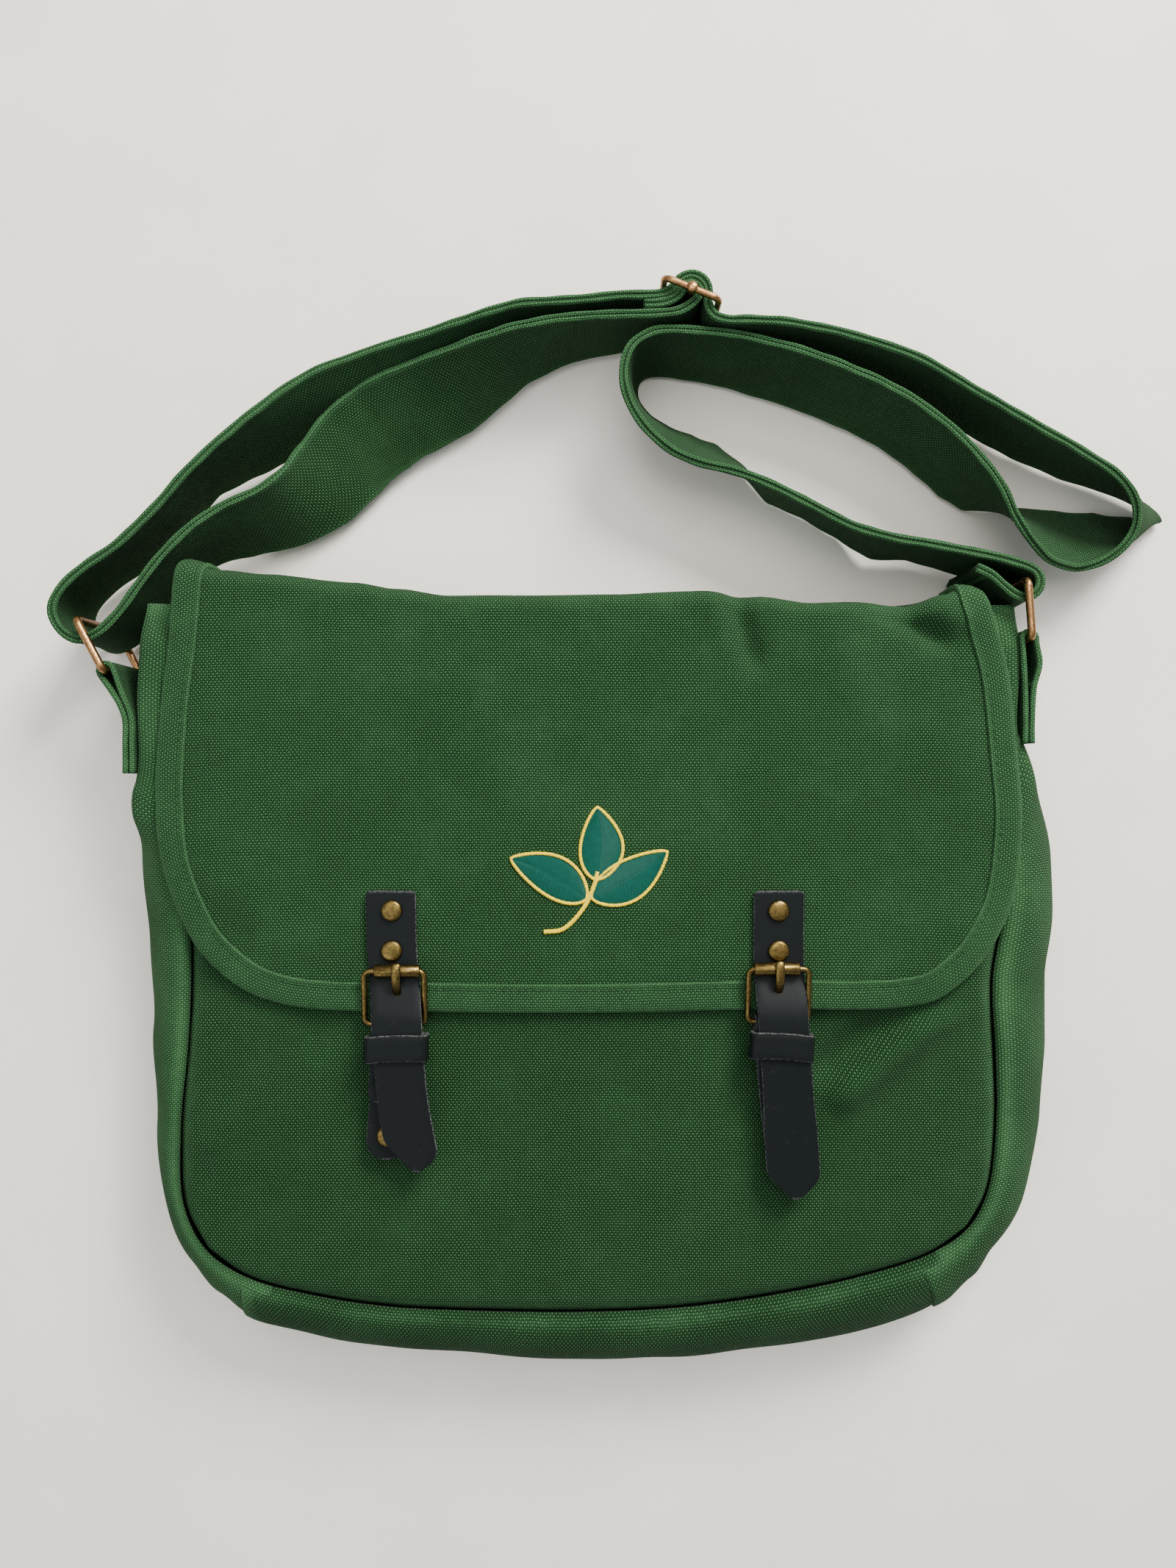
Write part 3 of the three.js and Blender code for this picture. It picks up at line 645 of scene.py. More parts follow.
def front_panel():
    """Front of the bag: a softly pillowed cloth with a valley at its sewn edge."""
    patch = panel_patch(MOUTH_Y)

    def place(u, v):
        p = patch.at(u, v)
        gap = edge_gap(u, v, 300, 240)
        under_flap = ease((p.y + 18) / 12)
        z = FRONT_Z - 0.75 + front_height(p.x, p.y) * (1 - under_flap)
        z -= 3.4 * math.exp(-(gap / 3.2) ** 2)
        z -= 0.5 * math.exp(-(gap / 12) ** 2)
        return (p.x, p.y, z)

    def wear(u, v):
        gap = edge_gap(u, v, 300, 240)
        return 0.45 * math.exp(-(gap / 4) ** 2) + 0.5 * math.exp(-((1 - v) * 240 / 3) ** 2)

    mesh = mapped_grid(150, 120, place, lambda u, v: tuple(patch.at(u, v))[:2], wear)
    piece = keep("front_cloth", mesh, "bag", material_of("front"))
    thicken(piece, 1.3, -1.0)
    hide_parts("front_panel")


def back_panel():
    """Back of the bag, lying on the table."""
    patch = panel_patch(GUSSET_TOP + 4)

    def place(u, v):
        p = patch.at(u, v)
        gap = edge_gap(u, v, 300, 260)
        ripple = 0.25 * math.sin(p.x / 24) * math.sin(p.y / 31)
        return (p.x, p.y, 0.75 + (0.3 + ripple) * ease(gap / 10) + 1.2 * math.exp(-(gap / 3) ** 2))

    def wear(u, v):
        return 0.4 * math.exp(-(edge_gap(u, v, 300, 260) / 4) ** 2)

    mesh = mapped_grid(90, 80, place, lambda u, v: tuple(patch.at(u, v))[:2], wear, flip=True)
    piece = keep("back_cloth", mesh, "bag", material_of("canvas"))
    thicken(piece, 1.3, 0.0)
    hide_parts("back_panel")


# Gusset sections from the front seam to the back seam: (share of the swell, height)
GUSSET_ROUND = Path([(20 * share, z, 0) for share, z in (
    (0, 38.3), (0.07, 39.8), (0.22, 40.0), (0.42, 39.0), (0.64, 36.0), (0.85, 30), (0.98, 22), (0.98, 13.5),
    (0.80, 6.5), (0.45, 2.4), (0.1, 1.4), (0, 2.2))])
GUSSET_BOX = Path([(20 * share, z, 0) for share, z in (
    (0, 38.3), (0.07, 40.0), (0.35, 40.9), (0.76, 41.3), (0.94, 40.6), (0.998, 38.4), (1.0, 30), (1.0, 12),
    (0.94, 5), (0.7, 2), (0.1, 1.4), (0, 2.2))])


def gusset(name, node, first, last, swell, columns, cloth, hem_start=False, hem_end=False, straight=False,
           square=lambda u: 0.0):
    """A side or bottom strip bulging out between the front and back seams."""
    line = [spline(SEAM, (first + (last - first) * i / columns) / SEAM_SPANS) for i in range(columns + 1)]
    reach = [0.0]
    for a, b in zip(line, line[1:]):
        reach.append(reach[-1] + (b - a).length)

    def station(u):
        i = int(round(u * columns))
        return i, line[i], (line[min(i + 1, columns)] - line[max(i - 1, 0)]).normalized()

    def place(u, v):
        i, p, along = station(u)
        out = Vector((along.y, -along.x, 0))
        if straight:
            out = (out * 0.08 + Vector((0, -1, 0))).normalized()
        section = GUSSET_ROUND.at(v).lerp(GUSSET_BOX.at(v), square(u))
        run = reach[i]
        wave = (0.30 * math.sin(run / 9 + 2.2 * math.sin(run / 23)) * math.sin(2 * math.pi * v + run / 40)
                + 0.14 * math.sin(run / 5.5 + 4 * v) + 0.35 * math.sin(run / 33))
        sag = 1 - 0.16 * ease((p.y - 126) / 18) * ease((section.y - 8) / 20)
        offset = swell(u) * section.x / 20 + wave * math.sin(math.pi * v) ** 1.3
        return (p.x + out.x * offset, p.y + out.y * offset, section.y * sag)

    def wear(u, v):
        i = station(u)[0]
        run = reach[i]
        amount = 0.40 * math.exp(-((v - 0.06) / 0.035) ** 2) + 0.10 * math.exp(-((v - 0.4) / 0.25) ** 2)
        amount += 0.09 * math.sin(run / 8.5 + 3 * math.sin(v * 5))
        if hem_start:
            amount += 0.6 * math.exp(-(run / 5) ** 2)
        if hem_end:
            amount += 0.6 * math.exp(-((reach[-1] - run) / 5) ** 2)
        return clamp(amount)

    def weave(u, v):
        return (reach[station(u)[0]], v * GUSSET_ROUND.length)

    mesh = mapped_grid(columns, 34, place, weave, wear, flip=True)
    piece = keep(name, mesh, "bag", material_of(cloth))
    thicken(piece, 1.3, -1.0)
    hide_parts(node)


def side_swell(low_run):
    """How far a side gusset stands out, read along its length from top to bottom."""
    return lambda u: profile(low_run, u)


def bag_body():
    front_panel()
    back_panel()
    gusset("left_gusset_cloth", "side_gusset_left", 0, 10.4,
           side_swell([(0, 20.5), (0.10, 20.8), (0.22, 21.2), (0.29, 22.5), (0.48, 22.0), (0.577, 19.5), (0.673, 14.5),
                       (0.77, 11.5), (0.865, 12), (0.93, 16), (1, 21)]),
           200, "left_side", hem_start=True, square=lambda u: ease((0.36 - u) / 0.12))
    gusset("bottom_gusset_cloth", "bottom_gusset", 9.9, 18.5,
           side_swell([(0, 22.5), (0.06, 22), (0.28, 22.5), (0.5, 26), (0.65, 27), (0.8, 28.5), (0.95, 28), (1, 27)]),
           210, "underside", hem_start=True, hem_end=True, straight=True)
    gusset("right_gusset_cloth", "side_gusset_right", 17.8, 29,
           side_swell([(0, 27), (0.06, 23), (0.107, 19), (0.196, 20), (0.286, 22.5), (0.375, 25.5), (0.464, 26.5),
                       (0.554, 26), (0.643, 24.5), (0.73, 23.5), (0.82, 21.8), (1, 21.8)]),
           200, "right_side", hem_end=True, square=lambda u: ease((u - 0.68) / 0.12))


# ---------------------------------------------------------------- flap

# The flap's edge laid flat: past the crest it runs on down the back of the bag
FLAP_LEFT = [(-150, 196, 0), (-154, 172, 0), (-158, 156, 0), (-160, 138, 0), (-161.5, 125, 0), (-164.5, 100, 0),
             (-166, 70, 0), (-162.5, 42, 0), (-152, 18, 0), (-143, 7, 0)]
FLAP_BASE = [(-143, 7, 0), (-131, -2, 0), (-119, -6.4, 0), (-105, -8.6, 0), (-75, -9.4, 0), (-3, -10, 0),
             (68, -8.6, 0), (100, -8.8, 0), (115, -7.8, 0), (127, -5, 0), (136, 1.2, 0)]
FLAP_RIGHT = [(136, 1.2, 0), (144, 9, 0), (151, 20, 0), (156, 32, 0), (159.5, 61, 0), (157.5, 90, 0),
              (154, 119, 0), (149, 136.5, 0), (145.5, 148.5, 0), (144, 166, 0), (143.5, 196, 0)]
CREST = [(-160, 159.5), (-153, 158.5), (-142, 156.5), (-125, 155), (-92, 151.8), (-75.5, 149.5), (-56, 147),
         (-26, 147), (7, 147.4), (39, 148.6), (60, 146.5), (81, 144), (98, 144.5), (117, 143.5), (131, 147),
         (136, 149.5), (146, 147.5)]
# Behind the crest the cloth turns down: the turn's radius, how far down it leans in to the bag, the line it
# leans to, the length of the back wall, and the height of its foot above the table
TURN = 6.0
WALL = 34.0
WALL_LINE = 147.6
WALL_RUN = 35.5
WALL_FOOT = 1.0
CLOSURE_X = {"left": -75.2, "right": 67.0}


def flap_height(x, y):
    """Height of the middle of the flap cloth, with its soft folds."""
    lift = line_fold(x, y, -166, 60, -110, 12, 7, 0.9) + line_fold(x, y, -150, 10, -128, 60, 8, 0.8)
    lift += line_fold(x, y, -160, 120, -120, 70, 10, 1.0)
    lift += line_fold(x, y, 38, 156, 50, 124, 5, 1.3) + line_fold(x, y, 47, 160, 59, 120, 4.5, -5.0)
    lift += line_fold(x, y, 66, 150, 74, 118, 8, 1.0) + line_fold(x, y, 90, 150, 132, 128, 4, -5.0)
    lift += line_fold(x, y, 100, 156, 140, 136, 5, 2.4) + line_fold(x, y, 84, 146, 96, 104, 8, 1.2)
    lift += line_fold(x, y, 120, 100, 150, 60, 8, 0.8)
    lift += line_fold(x, y, -40, 150, -46, 96, 9, 0.8) + line_fold(x, y, 20, 148, 30, 104, 10, 0.9)
    lift += line_fold(x, y, -100, 152, -92, 110, 9, 0.9)
    lift += 0.25 * math.sin(x / 27 + 1) * math.sin(y / 21) + 0.12 * math.sin(x / 9 + y / 13)
    calm = 1.0
    for side in SIDES:
        calm *= 1 - 0.9 * bump(x, CLOSURE_X[side], 17) * ease((52 - y) / 14)
    droop = 1.8 * ease((-x - 140) / 26) + 1.8 * ease((x - 134) / 26) + 0.3 * ease((4 - y) / 14)
    deepest = -2.2 - 2.6 * ease((y - 118) / 8)
    return FLAP_MID + max(lift, deepest) * calm - droop * ease((150 - y) / 30)


def drape(x, l, rise=0.0):
    """Carries a point of the flat flap onto the bag, over the crest and down its back."""
    crest = profile(CREST, x)
    turn = TURN + rise
    past = l - (crest - TURN)
    top = flap_height(x, min(l, crest - TURN))
    if past <= 0:
        return Vector((x, l, top + rise))
    if past < TURN * math.pi / 2:
        angle = past / TURN
        return Vector((x, crest - TURN + turn * math.sin(angle), top - TURN + turn * math.cos(angle)))
    down = past - TURN * math.pi / 2
    lean = ease(down / WALL)
    share = down / WALL_RUN
    height = (top - TURN) * (1 - share) + WALL_FOOT * share
    return Vector((x, crest + (WALL_LINE - crest) * lean + rise, height))


def flap_piece(name, mesh, material):
    """A flap piece, baked into world space and attached to no body."""
    piece = keep(name, mesh, None, material)
    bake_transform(piece)
    return piece


def wall_edge(x, l):
    """Keeps the flat flap from running past the bottom of the back wall."""
    crest = profile(CREST, x)
    return min(l, crest - TURN + TURN * math.pi / 2 + WALL_RUN)


def flap_cloth():
    top = Path([FLAP_LEFT[0], (0, 196, 0), FLAP_RIGHT[-1]])
    patch = Patch(FLAP_LEFT, FLAP_BASE, FLAP_RIGHT[::-1], top)

    def place(u, v):
        p = patch.at(0.012 + u * 0.976, 0.012 + v * 0.988)
        return drape(p.x, wall_edge(p.x, p.y))

    def weave(u, v):
        p = patch.at(u, v)
        return p.x, p.y

    def wear(u, v):
        p = patch.at(u, v)
        return 0.12 * bump(p.y, profile(CREST, p.x) - 1, 5)

    mesh = mapped_grid(170, 150, place, weave, wear)
    wall = 0.65 * MM
    outer = mesh.copy()
    for vert in mesh.verts:
        vert.normal_update()
    for vert, twin in zip(list(mesh.verts), list(outer.verts)):
        shift = vert.normal * wall
        vert.co += shift
        twin.co -= shift
    bmesh.ops.reverse_faces(outer, faces=outer.faces)
    join_into(mesh, outer)
    bmesh.ops.recalc_face_normals(mesh, faces=mesh.faces)
    return flap_piece("flap_cloth", mesh, material_of("canvas"))


EDGE_STATIONS = 420
BAND = 11.0
# The folded binding in section: distance in from the edge, and height from the middle of the cloth
BAND_SECTION = [(BAND, 0.7), (BAND, 1.5), (BAND - 0.35, 1.95), (BAND - 1.0, 2.0), (BAND - 2.3, 1.45),
                (BAND - 3.6, 1.75), (BAND * 0.5, 1.95), (3.6, 2.1), (2.2, 2.0), (1.1, 1.65), (0.4, 1.05), (0.0, 0.3),
                (0.1, -0.5), (0.6, -1.2), (1.5, -1.55), (BAND * 0.5, -1.5), (BAND - 2.2, -1.4), (BAND - 0.5, -1.4),
                (BAND, -0.75)]
BAND_GIRTH = [0.0]
for _near, _far in zip(BAND_SECTION, BAND_SECTION[1:] + BAND_SECTION[:1]):
    BAND_GIRTH.append(BAND_GIRTH[-1] + math.hypot(_far[0] - _near[0], _far[1] - _near[1]))


def band_point(t, inset, rise):
    """A point on the binding's section, t along the edge."""
    here = EDGE_PATH.at(t)
    along = EDGE_PATH.along(t)
    inward = Vector((-along.y, along.x, 0))
    spot = here + inward * inset
    ripple = 0.16 * math.sin(t * 610) * math.sin(t * 97 + inset)
    return drape(spot.x, wall_edge(spot.x, spot.y), rise + ripple * (1 if rise > 0 else 0))


EDGE_PATH = Path(FLAP_LEFT[1:] + FLAP_BASE[1:-1] + FLAP_RIGHT[:-1], 900)


def flap_binding():
    count = len(BAND_SECTION)

    def place(u, v):
        inset, rise = BAND_SECTION[int(round(v * count)) % count]
        return band_point(u, inset, rise)

    def weave(u, v):
        run = u * EDGE_PATH.length
        width = BAND_GIRTH[int(round(v * count))]
        return (run, width)

    def wear(u, v):
        inset = BAND_SECTION[int(round(v * count)) % count][0]
        return 0.08 + 0.42 * math.exp(-(inset / 1.5) ** 2) + 0.42 * math.exp(-((inset - BAND) / 0.8) ** 2)

    mesh = mapped_grid(EDGE_STATIONS, count, place, weave, wear, closed_across=True)
    bmesh.ops.holes_fill(mesh, edges=[e for e in mesh.edges if e.is_boundary])
    bmesh.ops.recalc_face_normals(mesh, faces=mesh.faces)
    return flap_piece("binding_cloth", mesh, material_of("binding"))


def stitch_mesh(mesh, start, end, lift, radius):
    """One stitch: a short thread rising from the cloth and diving back in."""
    along = (end - start).normalized()
    side = along.cross(Vector((0, 0, 1))).normalized()
    up = side.cross(along)
    rings = []
    for k in range(5):
        share = k / 4
        centre = start.lerp(end, share) + up * (lift * math.sin(math.pi * share) - radius * 0.6)
        ring = []
        for j in range(5):
            angle = 2 * math.pi * j / 5
            offset = side * (radius * math.cos(angle)) + up * (radius * math.sin(angle))
            ring.append(mesh.verts.new((centre + offset) * MM))
        rings.append(ring)
    for a, b in zip(rings, rings[1:]):
        for j in range(5):
            mesh.faces.new((a[j], a[(j + 1) % 5], b[(j + 1) % 5], b[j]))
    mesh.faces.new(rings[0][::-1])
    mesh.faces.new(rings[-1])


def sew(name, spots, body=None, lift=0.35, radius=0.24):
    """Stitches along pairs of points, joined into one piece."""
    mesh = bmesh.new()
    mesh.loops.layers.uv.new("weave")
    mesh.verts.layers.float.new("wear")
    for start, end in spots:
        stitch_mesh(mesh, Vector(start), Vector(end), lift, radius)
    bmesh.ops.recalc_face_normals(mesh, faces=mesh.faces)
    if body:
        return keep(name, mesh, body, material_of("stitching"))
    return flap_piece(name, mesh, material_of("stitching"))


def binding_stitches():
    spots = []
    pitch = 3.1 / EDGE_PATH.length
    t = 0.075
    while t < 0.925:
        inset = BAND - 2.3
        spots.append((band_point(t, inset, 1.5), band_point(t + pitch * 0.7, inset, 1.5)))
        t += pitch
    return sew("binding_stitches", spots)


def flap_group():
    cloth = flap_cloth()
    band = flap_binding()
    binding_stitches()
    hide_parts("flap_panel", "top_fold")
    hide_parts("flap_binding")


# ---------------------------------------------------------------- emblem

LEAVES = (((0, 40), 27.0, 0.0, 7.6), ((-4, 33), 32.0, 62.0, 7.2), ((-2, 33), 33.0, -58.0, 7.2))
STEM = [(-20, 20.5, 0), (-13, 21.5, 0), (-5.5, 29, 0), (-1.5, 37, 0), (0, 43, 0)]


def leaf_point(root, reach, turn, half, along, across):
    """A point inside a leaf; along runs from root to tip, across from -1 to 1."""
    angle = math.radians(turn)
    width = half * math.sin(math.pi * clamp(along) ** 0.8) ** 0.75
    bend = 1.6 * math.sin(math.pi * along)
    x, y = across * width + bend, along * reach
    return (root[0] + x * math.cos(angle) - y * math.sin(angle), root[1] + x * math.sin(angle) + y * math.cos(angle))


def emblem():
    """A plain sprig in satin stitch with an outline cord."""
    fill, cord = bmesh.new(), bmesh.new()
    for layers in (fill, cord):
        layers.loops.layers.uv.new("weave")
        layers.verts.layers.float.new("wear")
    for root, reach, turn, half in LEAVES:
        def place(u, v):
            x, y = leaf_point(root, reach, turn, half, 0.02 + 0.96 * v, u * 2 - 1)
            dome = 0.75 * math.sqrt(max(0, 1 - (u * 2 - 1) ** 2)) - 0.25 * math.exp(-((u - 0.5) / 0.05) ** 2)
            return (x, y, flap_height(x, y) + 0.75 + dome)

        join_into(fill, mapped_grid(14, 40, place, lambda u, v: (u * 11, v * 30 + abs(u - 0.5) * 9)))
        rim = [leaf_point(root, reach, turn, half, k / 40, 1.05) for k in range(41)]
        rim += [leaf_point(root, reach, turn, half, k / 40, -1.05) for k in range(39, 0, -1)]
        join_into(cord, flat_cord(rim, 0.62, True))
    stem = Path(STEM)
    stem_points = [tuple(stem.at(k / 50))[:2] for k in range(51)]
    join_into(cord, flat_cord(stem_points, 0.85, False))
    satin = keep("emblem_leaves", fill, "flap", material_of("satin"))
    keep("emblem_outline", cord, "flap", material_of("outline"))
    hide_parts("emblem")


def flat_cord(points, radius, closed):
    """A laid cord following points on the flap."""
    count = len(points)
    spots = [Vector((x, y, flap_height(x, y) + 1.0)) for x, y in points]

    def place(u, v):
        i = int(round(u * (count if closed else count - 1)))
        i = i % count if closed else min(i, count - 1)
        ahead = spots[(i + 1) % count] if closed or i < count - 1 else spots[i]
        back = spots[i - 1] if closed or i > 0 else spots[i]
        side = (ahead - back).cross(Vector((0, 0, 1))).normalized()
        swell = radius * (1 + 0.12 * math.sin(i * 2.4))
        angle = 2 * math.pi * v
        return spots[i] + side * (swell * math.cos(angle)) + Vector((0, 0, swell * math.sin(angle)))

    steps = count if closed else count - 1
    mesh = mapped_grid(steps, 9, place, lambda u, v: (v * 3, u * count * 0.9), closed_across=True,
                       closed_along=closed)
    bmesh.ops.holes_fill(mesh, edges=[e for e in mesh.edges if e.is_boundary])
    bmesh.ops.recalc_face_normals(mesh, faces=mesh.faces)
    return mesh


# ---------------------------------------------------------------- shoulder strap and ring tabs

FOOT = 4.8


def arc_rows(centre_x, centre_y, radius, start, end, count):
    """Points round part of a circle, in degrees."""
    angles = [math.radians(start + (end - start) * i / count) for i in range(count + 1)]
    return [(centre_x + radius * math.cos(a), centre_y + radius * math.sin(a)) for a in angles]
STRAP_ROUTE = [
    (142.5, 157.2), (148, 154.5), (152.5, 150.5), (156.8, 147.2),
    *arc_rows(160.8, 151.8, 5.8, -100, 70, 6), (156.5, 159.4), (146.6, 161.8), (125, 166, 1, 2),
    (111, 168.5), (96.5, 173.6, 2, 4, 1.5), (82, 181, 2, 5, 1.6), (68, 188, 2, 4, 1.6),
    (53.6, 194, 6, 10, 1.6), (39.4, 198, 9, 15, 1.6), (28, 203, 10, 14, 1.6), (18, 211.5, 9, 10, 1.6),
    (11.5, 222, 8, 5, 1.6), (9.8, 233, 6, 0, 1.6), (13, 242, 3, -3, 1.6), (20.5, 247, 0, -4, 1.6),
    (30, 248, 0, -5, 1.6), (53.6, 246, -2, -7, 1.6), (68, 243, -3, -8, 1.6), (82, 239, -4, -8, 1.6),
    (96.5, 233.5, -4, -8, 1.6), (111, 227, -4, -8, 1.6), (125, 218.5, -5, -7, 1.6),
    (136.6, 209, -6, -6, 1.6), (147, 198, -6, -4, 1.6), (153.5, 188, -3, 0, 1.6), (158.5, 178, 4, 10, 1.6),
    (165.5, 169.5, 8, 18, 1.6), (174.5, 162.5, 12, 24, 1.6), (187, 159.5, 16, 26, 1.6),
    (199, 163.5, 20, 20, 1.6), (206.5, 173, 23, 10, 1.6), (206, 183, 20, 4, 1.6), (199, 192, 14, 2, 1.6),
    (184, 201.5, 6, 0, 1.6), (168, 210.5, 1, 0, 1.6), (153.6, 218.8, 0, 0, 1.6), (139.4, 227, 0, 0, 1.6),
    (125, 235.6, 0, 0, 1.6), (111, 241.2, 0, 0, 1.6), (96.5, 245.6, 0, 0, 1.5), (82, 248.4, 0, 0, 2.8),
    (68, 249.8), (56, 250.2), (48.5, 250.4), (43.6, 252.2), *arc_rows(35.3, 260.6, 6.6, -22, 160, 9),
    (25.2, 260.4), (19, 259.6), (8, 259.3), (-9.4, 257.6), (-29.6, 256.4, 1, -3), (-43, 253.2, 4, -8),
    (-60, 248.5, 7, -14), (-78, 243.5, 9, -17), (-95, 238, 10, -17), (-112, 230, 9, -14),
    (-125, 220, 7, -9), (-139, 208, 4, -5), (-153.6, 194), (-167, 179), (-180.5, 166), (-192, 158),
    (-201.5, 149.5), (-205, 141), (-201.5, 133.5), (-195, 130.2), (-188, 132.6), (-180.5, 139.7),
    (-173.5, 149), (-165, 160.5), (-155.5, 170.5, 4, -4), (-145, 179, 5, -10), (-134.5, 184.5, 6, -13),
    (-126, 189.5, 9, -15), (-119.5, 197, 19, -14), (-113.5, 208, 25, -14), (-106, 219, 24, -19),
    (-95, 228.5, 19, -24), (-78, 236, 12, -25), (-60, 241.2, 9, -22), (-43, 245.6, 5, -15),
    (-29.6, 248.6, 2, -9), (-9.4, 251.4, 0, -3), (10, 252.2), (24, 252.7), (30.5, 253.5), (34.6, 255.6),
    *arc_rows(35.3, 260.6, 3.25, -45, 145, 8), (30.7, 259.4), (27, 257.3), (22, 256.3), (17.5, 256.1)]

LEFT_TAB = [(-177.4, 79.7), (-177.4, 90), (-177.6, 100), (-180.2, 107),
            *arc_rows(-184.7, 118.3, 2.75, 214, 24, 8), (-178.8, 110), (-175.4, 101), (-174.9, 90), (-174.9, 79.7)]
RIGHT_TAB = [(163.4, 91), (163.4, 100), (164.2, 112), (166.2, 121),
             *arc_rows(162.4, 130.3, 2.75, -15, 195, 8), (160.2, 122), (160.9, 111), (160.9, 100), (160.9, 91)]


def route_value(route, s, column, fallback):
    i = min(int(s), len(route) - 2)
    values = [row[column] if len(row) > column else fallback for row in (route[i], route[i + 1])]
    return values[0] + (values[1] - values[0]) * (s - i)


class Ribbon:
    """A strap standing on edge along a route of (x, y, foot offset x, foot offset y, foot height)."""

    def __init__(self, route, samples=1400):
        self.route = route
        self.tops = [(row[0], row[1], 0) for row in route]
        spots = [spline(self.tops, i / samples) for i in range(samples + 1)]
        self.reach = [0.0]
        for a, b in zip(spots, spots[1:]):
            self.reach.append(self.reach[-1] + (b - a).length)
        self.length = self.reach[-1]
        self.samples = samples

    def share(self, run):
        """The route position at a length along the strap."""
        low, high = 0, self.samples
        while high - low > 1:
            middle = (low + high) // 2
            if self.reach[middle] <= run:
                low = middle
            else:
                high = middle
        span = max(self.reach[high] - self.reach[low], 1e-9)
        return (low + clamp((run - self.reach[low]) / span)) / self.samples

    def frame(self, t):
        """Top edge point, direction down the width and direction through the thickness."""
        s = t * (len(self.route) - 1)
        lean_x, lean_y = route_value(self.route, s, 2, 0), route_value(self.route, s, 3, 0)
        foot = route_value(self.route, s, 4, FOOT)
        drop = math.sqrt(STRAP_WIDTH ** 2 - lean_x ** 2 - lean_y ** 2)
        down = Vector((lean_x, lean_y, -drop)).normalized()
        tangent = (spline(self.tops, clamp(t + 5e-4)) - spline(self.tops, clamp(t - 5e-4))).normalized()
        across = tangent.cross(down).normalized()
        top = spline(self.tops, t)
        return Vector((top.x, top.y, foot + drop)), down, across


EDGE_SWELL = 1.28


def strap_section(thickness, layers, sides):
    """A folded strap: (distance down the width, offset through the thickness), with a rolled lip per layer."""
    half = thickness / 2
    r = half * EDGE_SWELL / layers
    edge = []
    for layer in range(layers):
        centre = (2 * layer + 1 - layers) * r
        for k in range(7):
            angle = math.pi - math.pi * k / 6
            edge.append((r - r * math.sin(angle), centre + r * math.cos(angle)))
    face = [(2.6 + (STRAP_WIDTH - 5.2) * k / (sides - 1), half) for k in range(sides)]
    far = [(STRAP_WIDTH - d, -o) for d, o in edge]
    back = [(STRAP_WIDTH - d, -o) for d, o in face]
    return edge + face + far + back


def ribbon_piece(name, route, thickness, stations, node, layers, puff=0.0):
    ribbon = Ribbon(route)
    section = strap_section(thickness, layers, 8)
    count = len(section)
    girth = [0.0]
    for a, b in zip(section, section[1:]):
        girth.append(girth[-1] + math.hypot(b[0] - a[0], b[1] - a[1]))
    frames = [ribbon.frame(ribbon.share(ribbon.length * i / stations)) for i in range(stations + 1)]

    def place(u, v):
        i = int(round(u * stations))
        top, down, across = frames[i]
        depth, offset = section[int(round(v * count)) % count]
        run = ribbon.length * i / stations
        edge = math.exp(-(min(depth, STRAP_WIDTH - depth) / 2.5) ** 2)
        wobble = 0.18 * math.sin(run / 3.1 + 2 * math.sin(run / 17)) * edge
        body = puff * math.sin(run / 13 + depth / 9) * math.sin(math.pi * depth / STRAP_WIDTH)
        return top + down * (depth + wobble) + across * (offset * (1 + 0.05 * math.sin(run / 2.2)) + body)

    def weave(u, v):
        i = int(round(v * count))
        return (u * ribbon.length, girth[min(i, count - 1)] if i < count else girth[-1] + 2)

    def wear(u, v):
        depth, offset = section[int(round(v * count)) % count]
        near = min(depth, STRAP_WIDTH - depth)
        groove = math.exp(-(offset / 0.3) ** 2) if layers > 1 and near < 2 else 0
        return clamp(0.5 * math.exp(-(near / 1.5) ** 2) - 0.9 * groove)

    mesh = mapped_grid(stations, count, place, weave, wear, closed_across=True)
    bmesh.ops.holes_fill(mesh, edges=[e for e in mesh.edges if e.is_boundary])
    bmesh.ops.recalc_face_normals(mesh, faces=mesh.faces)
    piece = keep(name, mesh, "bag", material_of("webbing"))
    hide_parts(node)
    return ribbon


def bar_tack(name, ribbon, run, side, thickness):
    """A zigzag bar of stitches across a ribbon."""
    spots = []
    for k in range(34):
        top, down, across = ribbon.frame(ribbon.share(run + (1.1 if k % 2 else -1.1)))
        far_top = ribbon.frame(ribbon.share(run + (-1.1 if k % 2 else 1.1)))[0]
        face = across * (side * (thickness / 2 + 0.05))
        depth = 1.6 + k * (STRAP_WIDTH - 3.2) / 34
        spots.append((top + down * depth + face, far_top + down * (depth + 1.0) + face))
    sew(name, spots, "bag", 0.25, 0.22)


def straps():
    strap = ribbon_piece("strap_cloth", STRAP_ROUTE, 2.8, 680, "shoulder_strap", 2, 0.5)
    left = ribbon_piece("left_tab_cloth", LEFT_TAB, 1.7, 70, "ring_tab_left", 1)
    right = ribbon_piece("right_tab_cloth", RIGHT_TAB, 1.7, 70, "ring_tab_right", 1)
    bar_tack("left_tab_tack", left, 24, 1, 1.7)
    bar_tack("right_tab_tack", right, 22, 1, 1.7)
    bar_tack("strap_hem_tack", strap, 5, -1, 2.8)


# ---------------------------------------------------------------- leather closures

STRAP_SIDE = [(0, 36, 46.1), (0, 8, 46.1), (0, 4, 46.4), (0, 1, 47.35), (0, -4, 49.45), (0, -9.5, 51.25),
              (0, -14, 51.5), (0, -26, 51.45), (0, -40, 50.7), (0, -55, 50.1), (0, -80, 49.8)]
# Where each tail ends, and how far each buckle sits up the bag
TAIL = {"left": (-67.2, 0.0), "right": (-77.2, 0.8)}
